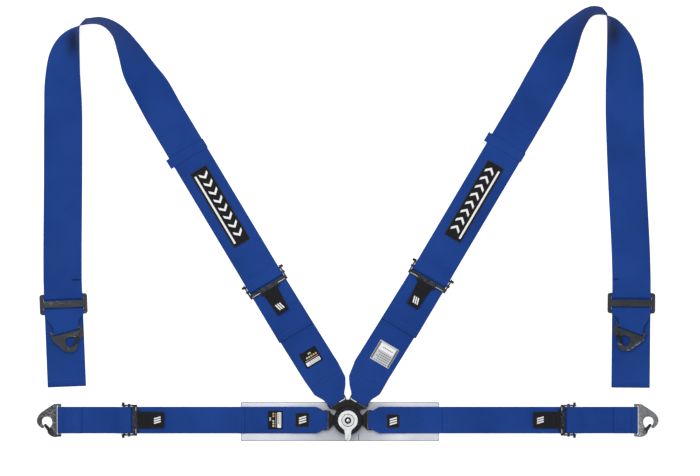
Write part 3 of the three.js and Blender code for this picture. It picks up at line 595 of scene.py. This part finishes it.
def twisted_loop(belt, plan):
    """The strap rolls up on its outer edge while its other edge keeps to the leg's line. Past the
    point where the two cross, it lies down again with its other face up."""
    side, web = belt["side"], belt["web"]
    start, down, leg_across, _ = leg_frame(belt)
    points = [start + down * (-SLIDE_HALF - 28) - leg_across * (web / 2)]
    points += [Vector((*p, 0)) for p in belt["outer"] + belt["inner"]]
    points += [at(plan, belt["landing"] - back, side * web / 2, 0) for back in (0, 30)]
    route = smooth_route(points)
    crossing = next(goal for edge, _, goal in route if side * (belt["leg_line"] - edge.x) <= 0)
    stations = []
    for i, (edge, _, goal) in enumerate(route):
        past = goal - crossing
        reach = round(9 * smoothstep(past, 30, 110))
        nearby = route[max(i - reach, 0):i + reach + 1]
        tangent = sum((t for _, t, _ in nearby), Vector()).normalized()
        inward = Vector((tangent.y, -tangent.x, 0)) * side
        if past < 0:
            to_line = (belt["leg_line"] - edge.x) / inward.x
            roll = math.acos(min(to_line / web, 1)) * smoothstep(past, -ROLL_UP[0], -ROLL_UP[1])
        else:
            roll = math.pi / 2 * quarter_turns(past, belt)
        across = inward * math.cos(roll) + Vector((0, 0, math.sin(roll)))
        stations.append((edge + across * (web / 2) + Vector((0, 0, FLOOR)), across, web))
    return stations


def quarter_turns(past, belt):
    """Roll of a shoulder strap past the crossing of its edges, where it is one quarter turn."""
    lean = LEAN[0] * min(past / LEAN[1], 1)
    over = min(max((past - belt["roll_delay"]) / belt["roll_over"], 0), 1)
    return 1 + lean + (1 - LEAN[0]) * math.sin(math.pi / 2 * over) ** 1.5


def shoulder_hook_side(belt, plan):
    start, down, leg_across, tail_length = leg_frame(belt)
    side, web = belt["side"], belt["web"]
    hook = Vector((*belt["rear_bar"], 0)) - start
    hook_at, sideways = hook.dot(down), hook.dot(leg_across)
    leg_angle = math.atan2(leg_across.y * side, leg_across.x * side)
    hook_turn = math.radians(belt["rear_angle"]) - leg_angle
    tail_part, to_hook, through = slide_profile(hook_at)

    def station(point, twist):
        s, z = point
        share = smoothstep(s, SLIDE_HALF, hook_at - 9) * twist
        across = Matrix.Rotation(hook_turn * share, 3, "Z") @ leg_across
        centre = start + down * min(s, hook_at) + leg_across * (sideways * share)
        outward = across.cross(Vector((0, 0, 1)))
        outward *= math.copysign(1, outward.dot(down))
        centre += outward * max(s - hook_at, 0)
        centre.z = z
        snug = SLIDE_SPREAD * (1 - smoothstep(abs(s), SLIDE_HALF - 6, SLIDE_HALF + 2))
        return centre, across, web + snug + (HOOK_WIDTH - web) * share

    raised = FLOOR + KEEPER_RISE
    diagonal = ramp(belt["landing"] - 34, FLOOR, belt["keeper"] + 62, raised)
    diagonal += ramp(belt["keeper"] - 4, raised, belt["keeper"] - 30, FLOOR)
    diagonal += [((belt["keeper"] + belt["adjuster"]) / 2, FLOOR)]
    diagonal += adjuster_profile(belt, 1000)
    stations = [station((tail_length, FLOOR), 0)]
    stations += [station(p, 0) for p in tail_part]
    stations += [station(p, 1) for p in to_hook]
    stations += [station(p, 0) for p in through]
    stations += twisted_loop(belt, plan)
    stations += [(at(plan, u, 0, z), plan[2] * -side, web) for u, z in diagonal]
    return stations


def refined(stations, longest=9.0):
    """Splits long straight stretches into parts no longer than the given length."""
    fine = [stations[0]]
    for (p, a, w), (q, b, x) in zip(stations, stations[1:]):
        parts = max(1, math.ceil((q - p).length / longest))
        for i in range(1, parts + 1):
            t = i / parts
            fine.append((p.lerp(q, t), a.lerp(b, t).normalized(), w + (x - w) * t))
    return fine


COLUMNS = 14
SELVEDGE = (-0.7, 0, 0.7)  # angles of the points that round a strap's edge
LOOP_SHADE_REACH = (15, 28)  # how far the painted shade in a loop's steep part spreads, along x and y


def webbing(name, stations, body="harness", thickness=WEB, material="webbing", slot="webbing", seed=0.0,
            loop_shade_centre=None):
    """A closed strap with rounded selvedges. Its weave is laid out from seed millimetres on, and
    painted shade darkens its colour round the point (x, y) in a loop's steep part, if any."""
    stations = refined(stations)
    half_t = thickness / 2
    rings, strap, length = [], [], seed
    columns = [-1 + 2 * j / COLUMNS for j in range(COLUMNS + 1)]
    for i, (p, across, width) in enumerate(stations):
        before, after = stations[max(i - 1, 0)][0], stations[min(i + 1, len(stations) - 1)][0]
        normal = across.cross(after - before).normalized()
        if i:
            length += (p - stations[i - 1][0]).length
        reach = width / 2 - half_t
        section = [(c * reach, -half_t) for c in columns]
        section += [(reach + half_t * math.cos(a), half_t * math.sin(a)) for a in SELVEDGE]
        section += [(c * reach, half_t) for c in reversed(columns)]
        section += [(-reach - half_t * math.cos(a), half_t * math.sin(a)) for a in reversed(SELVEDGE)]
        rings.append([p + across * x + normal * y for x, y in section])
        # The third value is the painted shade of a loop's steep part.
        strap += [(x, length, painted_loop_shade(q, loop_shade_centre)) for (x, _), q in zip(section, rings[-1])]
    return make_piece(name, *skin(rings), material, body, slot, strap=strap)


def painted_loop_shade(point, loop_shade_centre):
    """Painted shade: 0 on open webbing, rising towards 1 in the steep part of a loop."""
    if loop_shade_centre is None or point.z < 6:
        return 0.0
    x, y = ((point[i] - loop_shade_centre[i]) / LOOP_SHADE_REACH[i] for i in (0, 1))
    return 0.85 * math.exp(-(x**2) - y**2)


def gathered(belt, u):
    start, end, slot_width = LAP_GATHER if is_lap(belt) else SHOULDER_GATHER
    return slot_width + (belt["web"] - slot_width) * smoothstep(u, start, end)


def make_straps():
    for name, belt in BELTS.items():
        plan = FRAMES[name]
        stations = []
        for u, z in tongue_side_profile(belt):
            bow = smoothstep(u, 42, 62) - smoothstep(u, 100, 180)
            v = belt["bow"] * bow - belt["offset"] * (1 - smoothstep(u, 48, 120))
            stations.append((at(plan, u, v, z), plan[2], gathered(belt, u)))
        piece = webbing(f"{name}_tongue_webbing", stations, seed=13.0)
        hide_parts(f"{name}_tongue_strap")
        if is_lap(belt):
            stations = [(at(plan, u, 0, z), plan[2], belt["web"]) for u, z in lap_hook_side_profile(belt)]
        else:
            stations = shoulder_hook_side(belt, plan)
        piece = webbing(f"{name}_hook_webbing", stations, loop_shade_centre=belt.get("loop_shade_centre"))
        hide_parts(f"{name}_hook_strap")


# ---- Sewn and printed details -----------------------------------------------------------


def sewn_plate(node, part, plan, u_range, v_range, bottom, thickness, material, corner=2.0):
    """A thin patch with rounded corners that stands in for its CAD plate."""
    (u0, u1), (v0, v1) = u_range, v_range
    end = [corner * (1 - math.cos(math.pi / 2 * i / 5)) for i in range(6)]
    stations = []
    for d in end + [u1 - u0 - d for d in reversed(end)]:
        inset = corner - min(d, u1 - u0 - d, corner)
        width = v1 - v0 - 2 * (corner - math.sqrt(corner**2 - inset**2))
        centre = at(plan, u0 + d, (v0 + v1) / 2, bottom + thickness / 2)
        stations.append((centre, plan[2], width))
    piece = webbing(f"{node}_{part}", stations, "harness", thickness, material, material)
    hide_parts(node)


def rounded_outline(u_range, v_range, corner, spacing):
    """Evenly spaced points round a rectangle with rounded corners."""
    (u0, u1), (v0, v1) = u_range, v_range
    centres = ((u1 - corner, v0 + corner, -90), (u1 - corner, v1 - corner, 0),
               (u0 + corner, v1 - corner, 90), (u0 + corner, v0 + corner, 180))
    path = []
    for u, v, start in centres:
        for i in range(7):
            a = math.radians(start + 15 * i)
            path.append(Vector((u + corner * math.cos(a), v + corner * math.sin(a))))
    path.append(path[0])
    return [point for point, _, _ in resampled(path, spacing)]


def bead_ring(plan, point, aside, z, width, height):
    """A six-sided section across a bead that passes the point (u, v)."""
    ring = []
    for c, s in circle(6):
        u, v = point + aside * (width * c)
        ring.append(at(plan, u, v, z + height * s))
    return ring


EDGE = dict(width=0.9, height=0.52, inset=0.5, spacing=0.55, swells=(0.78, 1.0))


def overlock(name, plan, u_range, v_range, height, slot, material="black_thread"):
    """Thread wound round a patch's edge: a low bead that swells at every turn of the thread."""
    points = rounded_outline(u_range, v_range, 2.0, EDGE["spacing"])[:-1]
    rings = []
    for i, point in enumerate(points):
        tangent = (points[(i + 1) % len(points)] - points[i - 1]).normalized()
        outward = Vector((tangent.y, -tangent.x))
        swell = EDGE["swells"][i % 2]
        centre = point - outward * EDGE["inset"]
        rings.append(bead_ring(plan, centre, outward, height, EDGE["width"] * swell, EDGE["height"] * swell))
    make_piece(name, *skin(rings, looped=True), material, "harness", slot)


STITCH_WIDTH, STITCH_HEIGHT = 0.42, 0.3
# Sections along a stitch: how far along, how thick, and how deep it sinks.
STITCH_RINGS = ((0.08, 0.35, 0.3), (0.25, 0.9, 0), (0.5, 1, -0.06), (0.75, 0.9, 0), (0.92, 0.35, 0.3))


def stitches(name, plan, paths, height, body="harness", slot="webbing", material="thread", pitch=4.0):
    """Rows of lockstitches: each is a short tapered bead whose ends sink into the cloth."""
    beads = []
    for path in paths:
        stops = resampled([Vector(p) for p in path], pitch)
        for (a, _, _), (b, _, _) in zip(stops, stops[1:]):
            direction = (b - a).normalized()
            aside = Vector((-direction.y, direction.x))
            rings = []
            for share, swell, sink in STITCH_RINGS:
                middle = a.lerp(b, share)
                z = (height(middle.x) if callable(height) else height) - sink
                rings.append(bead_ring(plan, middle, aside, z, STITCH_WIDTH * swell, STITCH_HEIGHT * swell))
            beads.append(skin(rings))
    make_piece(name, *joined(beads), material, body, slot)


def box_seam(u0, u1, v0, v1):
    """A sewn box with its cross."""
    corners = [(u0, v0), (u1, v0), (u1, v1), (u0, v1)]
    return [corners + [corners[0]], [corners[0], corners[2]], [corners[1], corners[3]]]


def marks(name, plan, outlines, bottom, thickness, material, slot, body="harness"):
    """Raised markings: each outline is a closed (u, v) polygon with softly rounded edges."""
    prisms = [skin([[at(plan, u, v, z) for u, v in outline] for z in (bottom, bottom + thickness)])
              for outline in outlines]
    piece = make_piece(name, *joined(prisms), material, body, slot, smooth=False)
    add_bevel(piece, 0.12, 2, 60)


def add_bevel(piece, width, segments, degrees):
    """Rounds the edges that turn by more than the angle."""
    bevel = piece.modifiers.new("bevel", "BEVEL")
    bevel.width = width * MM
    bevel.segments = segments
    bevel.limit_method = "ANGLE"
    bevel.angle_limit = math.radians(degrees)


def bar_outline(u0, u1, v0, v1, corner=0.5):
    return [tuple(p) for p in rounded_outline((u0, u1), (v0, v1), corner, 0.9)[:-1]]


def chevron(tip, v, reach, height, stroke):
    """An arrowhead along the belt, its tip at u = tip; it points back where reach is negative."""
    half, thick = height / 2, math.copysign(stroke, reach)
    back = tip - reach
    return [(tip, v), (back, v + half), (back - thick, v + half), (tip - thick, v),
            (back - thick, v - half), (back, v - half)]


def slanted_bars(u, v, size):
    """A small mark of three leaning bars, centred at u, v."""
    pitch, lean = size / 3, size * 0.14
    u0, u1 = u - size / 2, u + size / 2
    outlines = []
    for middle in (v - pitch, v, v + pitch):
        low, high = middle - pitch * 0.3, middle + pitch * 0.3
        outlines.append([(u0, low - lean), (u1, low + lean), (u1, high + lean), (u0, high - lean)])
    return outlines


def level(x0, x1, z, steps=24):
    """Evenly spaced points between x0 and x1, without its ends."""
    return [(x0 + (x1 - x0) * i / steps, z) for i in range(1, steps)]


def make_keepers():
    """A sewn band of webbing round the shoulder strap, its ends lapped on top."""
    half = KEEPER["wall"] / 2
    low, high = KEEPER["low"] + half, KEEPER["high"] - half
    bottom, top = half + 0.02, KEEPER["height"] - half
    turn, middle = (top - bottom) / 2, (top + bottom) / 2
    near, far = low + turn, high - turn
    path = wrap(far, middle, turn, -90, 90, 8) + level(far, near, top)
    path += wrap(near, middle, turn, 90, 270, 8) + level(near, far, bottom)
    for name in ("left_shoulder", "right_shoulder"):
        belt, plan = BELTS[name], FRAMES[name]
        u = belt["keeper"] + KEEPER["length"] / 2
        stations = []
        for v, z in path:
            ripple = 0.5 * math.sin(v * 0.09 + 1.1) * (1 if z > middle else 0)
            stations.append((at(plan, u + ripple, v, z), plan[1], KEEPER["length"] - 0.6))
        body = f"{name}_keeper"
        piece = webbing(f"{name}_keeper_band", stations, body, KEEPER["wall"], seed=40.0)
        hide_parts(body)
        seam = [[(u - 8, v), (u + 8, v)] for v in (low + 7, low + 11)]
        stitches(f"{name}_keeper_seam", plan, seam, KEEPER["height"] + 0.02, body, pitch=3.4)


def make_pull_tabs():
    for name, belt in BELTS.items():
        plan = FRAMES[name]
        a = belt["adjuster"]
        rod, rod_z, rod_radius = TAB_ROD
        layer = PULL_TAB["layer"]
        end = rod - PULL_TAB["length"]
        upper, lower = rod_z - 0.2 - layer / 2, rod_z - 2.2 + layer / 2
        turn = rod_radius + GAP + layer / 2
        slack = 6
        path = [(end, lower), (end + 20, lower)]
        path += ramp(rod - slack, lower, rod - 1.6, rod_z - turn + 0.1, 8)
        path += wrap(rod, rod_z, turn, -100, 165, 18)
        path += ramp(rod - turn - 1, upper + 0.2, rod - slack - 2, upper, 4)
        path += [(end + 20, upper), (end, upper)]
        stations = []
        for w, z in path:
            width = 33 if is_lap(belt) else 27 + 5 * math.exp(-(((w - rod) / 12) ** 2))
            tip = max(0.0, 1 - (w - end) / 3.0)
            width -= 2.2 * tip * tip
            stations.append((at(plan, a + w, 0, z), plan[2], width))
        body = f"{name}_tab"
        piece = webbing(f"{name}_tab_fabric", stations, body, layer, "black_fabric", "black_fabric")
        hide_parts(f"{name}_pull_tab")
        top = upper + layer / 2
        half = 14.5 if is_lap(belt) else 12
        neck = a + rod - slack - 4
        rows = [box_seam(a + end + 2, a + end + 26, -half, half)[0], [(neck, -half), (neck, half)]]
        stitches(f"{name}_tab_seam", plan, rows, top + 0.04, body, "black_fabric", "black_thread", 3.2)
        bars = slanted_bars(a + end + 14, 0, 13)
        marks(f"{name}_tab_mark", plan, bars, top - 0.1, 0.32, "white_mark", "black_fabric", body)


PATCH = dict(back=196, length=168, half=18, thickness=0.62, arrows=8, pitch=18.6)


def patch(name, plan, u_range, v_range, bottom, outlines):
    """A woven patch with an overlocked edge and white markings."""
    fabric = "black_fabric"
    thickness = PATCH["thickness"]
    sewn_plate(name, "fabric", plan, u_range, v_range, bottom, thickness, fabric)
    overlock(f"{name}_edge", plan, u_range, v_range, bottom + 0.5, fabric)
    marks(f"{name}_marks", plan, outlines, bottom + thickness - 0.12, 0.3, "white_mark", fabric)


def make_patches():
    on_lap_strap = PAD_TOP + GAP + 2 * LAYER
    for name in ("left_shoulder", "right_shoulder"):
        belt, half = BELTS[name], PATCH["half"]
        u0 = belt["keeper"] - PATCH["back"]
        u1 = u0 + PATCH["length"]
        side = belt["side"]
        first = u0 + (15 if side > 0 else 28)
        tips = [first + PATCH["pitch"] * i for i in range(PATCH["arrows"])]
        arrows = [chevron(tip, -4.2 * side, -8.2 * side, 18, 5.6) for tip in tips]
        line = bar_outline(u0 + 7, u1 - 9, 12 * side - 1.9, 12 * side + 1.9)
        patch(f"{name}_patch", FRAMES[name], (u0, u1), (-half, half), LAYER, arrows + [line])
    for name, u1, v0, v1, middle in (("left_lap", 102, -14, 13, -0.5), ("right_lap", 100, -15, 11, -2)):
        bars = slanted_bars(88.5, middle, 14)
        patch(f"{name}_patch", FRAMES[name], (76, u1), (v0, v1), on_lap_strap, bars)


LABEL = 0.4  # thickness


def printed_row(u, width, v0, v1, dash, gap):
    """One row of a label's print as equal dashes across the belt."""
    count = int((v1 - v0 + gap) / (dash + gap))
    starts = [v0 + (dash + gap) * i for i in range(count)]
    low, high = u - width / 2, u + width / 2
    return [[(low, v), (high, v), (high, v + dash), (low, v + dash)] for v in starts]


def make_woven_label(name, plan, u_range, v_range, bottom):
    """A black label: a white box with dark writing-like dashes, then three coloured rows."""
    (u0, _), (v0, v1) = u_range, v_range
    fabric = "black_fabric"
    sewn_plate(name, "fabric", plan, u_range, v_range, bottom, LABEL, fabric, 1.2)
    top = bottom + LABEL - 0.04
    green = printed_row(u0 + 18.4, 3.2, 0, v1 - 4, 3.4, 1.5)
    prints = {
        "white": [bar_outline(u0 + 3.2, u0 + 10.6, v0 + 3, v1 - 3, 0.6)],
        "rose": printed_row(u0 + 13.6, 1.3, v0 + 4, v1 - 4, 2.2, 1.0),
        "amber": printed_row(u0 + 18.4, 3.2, v0 + 4, -1, 3.4, 1.5),
        "green": green + printed_row(u0 + 24.6, 3.0, -5, 4, 2.6, 0.8),
    }
    for part, outlines in prints.items():
        marks(f"{name}_{part}_print", plan, outlines, top, 0.14, f"{part}_mark", fabric)
    writing = printed_row(u0 + 5.4, 1.4, v0 + 5, v1 - 5, 2.4, 1.1)
    writing += printed_row(u0 + 8.4, 1.4, v0 + 5, v1 - 8, 3.1, 1.2)
    marks(f"{name}_writing", plan, writing, top + 0.08, 0.14, "dark_mark", fabric)


def make_foil_label(name, plan, u_range, v_range, bottom):
    """A silver label: dark stripes along its sides, a white box on top and rows of small dashes."""
    (u0, u1), (v0, v1) = u_range, v_range
    foil = "silver_label"
    sewn_plate(name, "foil", plan, u_range, v_range, bottom, LABEL, foil, 1.2)
    top = bottom + LABEL - 0.04
    dark = [bar_outline(u0 + 1.5, u1 - 1.5, v, v + 3.2, 0.5) for v in (v0 + 0.8, v1 - 4)]
    for i in range(5):
        dark += printed_row(u0 + 3 + 4.4 * i, 1.7, v0 + 6.5, v1 - 6 - 4 * (i % 2), 2.9, 1.3)
    window = bar_outline(u1 - 17, u1 - 4, v0 + 5.5, v1 - 5.5, 0.8)
    line = printed_row(u1 - 10.5, 1.8, v0 + 9, v1 - 9, 2.8, 0.9)
    marks(f"{name}_print", plan, dark, top, 0.12, "grey_mark", foil)
    marks(f"{name}_window", plan, [window], top, 0.1, "white_mark", foil)
    marks(f"{name}_line", plan, line, top + 0.06, 0.12, "grey_mark", foil)


def make_labels():
    on_lap_strap = PAD_TOP + GAP + LAYER
    make_woven_label("left_lap_label", FRAMES["left_lap"], (127, 156), (-18, 18), on_lap_strap)
    make_woven_label("left_shoulder_label", FRAMES["left_shoulder"], (126, 158), (-19, 17), LAYER)
    make_foil_label("right_shoulder_label", FRAMES["right_shoulder"], (126, 168), (-22, 20), LAYER)


ON_TOP = WEB / 2 + 0.03  # height of a stitch over the mid-line of the webbing it lies on


def make_seams():
    """Stitching where the webbing is sewn to itself: at tongues, lap hooks, hems and tails."""
    for name, belt in BELTS.items():
        plan = FRAMES[name]
        half = belt["web"] / 2
        inset = half - 5
        aside = belt["bow"] - belt["offset"] * 0.2  # the tongue side is bowed here
        if is_lap(belt):
            rows = [[(74.5 + d, -inset + 1), (74.5 + d, inset - 1)] for d in (0, 29)]
        else:
            rows = [[(u, -inset + aside), (u, inset + aside)] for u in (80, 84, 98, 102)]
            rows += [[(84, inset * s + aside), (98, -inset * s + aside)] for s in (-1, 1)]
        stitches(f"{name}_tongue_seam", plan, rows, lay_height(belt, 0) + LAYER + ON_TOP)
        rows = [[(belt["hem"] + d, -half + 3), (belt["hem"] + d, half - 3)] for d in (3, 12)]
        hem_height = partial(seam_height, belt)
        stitches(f"{name}_hem_seam", plan, rows, hem_height)
        if is_lap(belt):
            rows = box_seam(belt["bar"] - 40, belt["bar"] - 15, -half + 4, half - 4)
            stitches(f"{name}_hook_seam", plan, rows, hem_height)
        else:
            start, down, across, length = leg_frame(belt)
            rows = [[(length - d, -half + 3), (length - d, half - 3)] for d in (3, 14)]
            stitches(f"{name}_tail_seam", (start, down, across), rows, WEB + 0.03)


def seam_height(belt, u):
    """Stitches lie on the second layer, which rises over the strap bar at the end of a lap belt."""
    height = lay_height(belt, u) + LAYER + ON_TOP
    if is_lap(belt):
        height += smoothstep(u, belt["bar"] - 12, belt["bar"] - 1) * (2 * WRAP_HOOK - LAYER)
    return height


def make_pad():
    """The plastic sheet under the buckle, with a rolled edge and a few soft buckles in it."""
    rows, spans = 30, 108
    corner, edge = PAD["corner"], 0.35
    half_w, half_h = PAD["width"] / 2, PAD["height"] / 2
    inner = half_w - corner
    ends = [half_w - corner * (1 - math.cos(math.pi / 2 * i / 6)) for i in range(6)]
    rings = []
    for x in [-x for x in ends] + [inner * (2 * i / spans - 1) for i in range(spans + 1)] + ends[::-1]:
        inset = corner - min(half_w - abs(x), corner)
        rim = half_h - (corner - math.sqrt(max(corner**2 - inset**2, 0)))
        top, bottom = [], []
        for j in range(rows + 1):
            y = rim * (-1 + 2 * j / rows)
            border = min(1.0, min(half_w - abs(x), rim - abs(y)) / edge)
            wave = noise.noise(Vector((x * 0.02, y * 0.05, 5.0)))
            z = PAD_TOP - 0.3 * (1 - border) + smoothstep(abs(y), 27, 33) * 0.35 * max(wave, 0)
            top.append((x + PAD["x"], y + PAD["y"], z))
            bottom.append((x + PAD["x"], y + PAD["y"], 0.02))
        rings.append(top + bottom[::-1])
    plastic = "pad_plastic"
    piece = make_piece("pad_sheet", *skin(rings), "pad_sheet", "harness", plastic)
    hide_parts("back_pad")
    plan = plan_frame(0, 0, (PAD["x"], PAD["y"]))
    u_range, v_range = (-half_w, half_w), (-half_h, half_h)
    overlock("pad_rolled_edge", plan, u_range, v_range, PAD_TOP - 0.35, plastic, "pad_edge")
    # The outline on the next line is a thin dark line on the sheet right of the lever's arm, near its lower
    # edge: painted shade along the edge of the shadow there.
    weld = bar_outline(35.7, 36.9, -37, -24.5, 0.5)
    marks("pad_shade_line", plan, [weld], PAD_TOP - 0.1, 0.45, "dark_mark", plastic)


def turned(name, profile, material, body, slot, segments=72, centre=(0, 0)):
    """A closed (radius, z) profile swept round a vertical axis, in millimetres."""
    x, y = centre
    rings = [[(x + r * c, y + r * s, z) for r, z in profile] for c, s in circle(segments)]
    piece = make_piece(name, *skin(rings, looped=True), material, body, slot)
    split = piece.modifiers.new("edges", "EDGE_SPLIT")
    split.split_angle = math.radians(40)
    return piece


def washer(r0, r1, z0, z1, crown=0.3):
    """Profile of a flat ring with crowned edges."""
    return [(r0, z0), (r1, z0), (r1, z1 - crown), (r1 - crown, z1), (r0 + crown, z1), (r0, z1 - crown)]


CAP_TOP, LEVER_TOP, HOUSING_TOP = 24.8, 23.3, 18
CAP_RINGS = ((7.0, 8.2), (8.6, 9.8), (10.2, 11.2))
RIDGE = ((-39.5, 0.7, 0.05), (-37, 1.5, 0.9), (-30, 1.7, 1.1), (-23, 1.5, 0.8), (-21, 0.6, 0.05))
RIVET_CIRCLE = 22.6


def make_buckle():
    """Turned rings and a rivet on the lever's cap, a ridge down its arm, a bead and rivets on the
    housing."""
    def on_lever(name, profile, material, slot="bright_steel", segments=72):
        turned(name, profile, material, "release", slot, segments)

    for i, (inner, outer) in enumerate(CAP_RINGS):
        ring = washer(inner, outer, CAP_TOP - 0.1, CAP_TOP + 0.28, 0.14)
        on_lever(f"cap_ring_{i + 1}", ring, "bright_steel")
    recess = washer(3.1, 6.6, CAP_TOP - 0.1, CAP_TOP + 0.1, 0.05)
    on_lever("cap_recess", recess, "black_steel", "black_steel")
    dome = ((0.01, -0.1), (3.0, -0.1), (3.0, 0.25), (2.5, 0.65), (1.4, 0.95), (0.01, 1.05))
    on_lever("cap_rivet", [(r, CAP_TOP + z) for r, z in dome], "bright_steel", segments=40)
    # A dark ring on the lever's disc just outside the cap: painted shade where the cap's edge shades the
    # lever.
    cap_shade_ring = washer(11.5, 12.6, LEVER_TOP - 0.05, LEVER_TOP + 0.1, 0.05)
    on_lever("lever_cap_shade_ring", cap_shade_ring, "dark_steel")
    rings = []
    for y, half, rise in RIDGE:
        angles = [math.pi * k / 6 for k in range(7)]
        rings.append([(half * math.cos(a), y, LEVER_TOP - 0.1 + rise * math.sin(a)) for a in angles])
    piece = make_piece("lever_ridge", *skin(rings), "bright_steel", "release", "bright_steel")
    smooth = piece.modifiers.new("smooth", "SUBSURF")
    smooth.levels = smooth.render_levels = 2
    bead = washer(25.2, 27.2, HOUSING_TOP - 1.6, HOUSING_TOP + 0.25, 0.4)
    turned("housing_bead", bead, "black_steel", "harness", "black_steel")
    head = ((0.01, -0.1), (1.5, -0.1), (1.35, 0.08), (0.8, 0.17), (0.01, 0.2))
    profile = [(r, HOUSING_TOP + z) for r, z in head]
    for i, (c, s) in enumerate(circle(8, math.radians(22.5))):
        spot = (RIVET_CIRCLE * c, RIVET_CIRCLE * s)
        turned(f"housing_rivet_{i + 1}", profile, "dark_steel", "harness", "dark_steel", 16, spot)


LIP = dict(u=-1.2, z=8.25, width=0.75, height=0.5, spans=8)


def make_bar_lips():
    """A bright rolled lip on each adjuster's cross-bar, broken where the pull tab passes; its bright colour
    is a painted highlight along the bar's edge.
    """
    for name, belt in BELTS.items():
        tab_half = 17.5 if is_lap(belt) else 19.5
        end = belt["web"] / 2 + 0.6
        lips = []
        for side in (-1, 1):
            rings = []
            for i in range(LIP["spans"] + 1):
                v = side * (tab_half + (end - tab_half) * i / LIP["spans"])
                taper = 0.35 if i in (0, LIP["spans"]) else 1.0
                point = Vector((belt["adjuster"] + LIP["u"], v))
                width, height = LIP["width"] * taper, LIP["height"] * taper
                rings.append(bead_ring(FRAMES[name], point, Vector((1, 0)), LIP["z"], width, height))
            lips.append(skin(rings[::-side]))
        make_piece(f"{name}_bar_lip", *joined(lips), "worn_steel", f"{name}_adjuster", "black_steel")


# ---- CAD hardware with rounded edges ----------------------------------------------------


def round_edges(node, material, width, segments=3):
    """Keeps the CAD node's own shape and softens its edges."""
    piece = NODES[node]
    piece.data.materials.clear()
    piece.data.materials.append(MATERIALS[material])
    piece.data.polygons.foreach_set("use_smooth", [True] * len(piece.data.polygons))
    weld = piece.modifiers.new("weld", "WELD")
    weld.merge_threshold = 0.02 * MM
    add_bevel(piece, width, segments, 38)
    piece.modifiers.new("normals", "WEIGHTED_NORMAL").keep_sharp = False


def finish_hardware():
    for name in BELTS:
        round_edges(f"{name}_tongue", "black_steel", 0.45)
        round_edges(f"{name}_adjuster_frame", "black_steel", 0.5)
        round_edges(f"{name}_lock_bar", "dark_steel", 0.4)
        steel = "grey_steel" if name == "right_lap" else "dark_steel"
        round_edges(f"{name}_snap_hook", steel, 0.7)
        gate = "dark_steel" if name == "right_lap" else "black_steel"
        round_edges(f"{name}_hook_gate", gate, 0.35)
        round_edges(f"{name}_gate_rivet", steel, 0.3)
        if name != "left_lap":
            round_edges(f"{name}_latch_pin", "bright_steel", 0.2)
    for node in ("left_shoulder_three_bar_slide", "right_shoulder_three_bar_slide"):
        round_edges(node, "dark_steel", 0.7)
    for node, material in (
        ("buckle_back_plate", "black_steel"), ("cam_rotor", "dark_steel"), ("spindle", "dark_steel"),
        ("lever_spring", "bright_steel"), ("fixed_tongue_pin", "bright_steel"),
    ):
        round_edges(node, material, 0.15, 2)
    round_edges("buckle_housing", "black_steel", 0.6)
    round_edges("release_lever", "bright_steel", 1.0, 4)
    round_edges("lever_cap", "bright_steel", 0.35)


make_camera()
make_studio()
make_materials()
make_straps()
make_keepers()
make_pull_tabs()
make_patches()
make_labels()
make_seams()
make_pad()
make_buckle()
make_bar_lips()
finish_hardware()
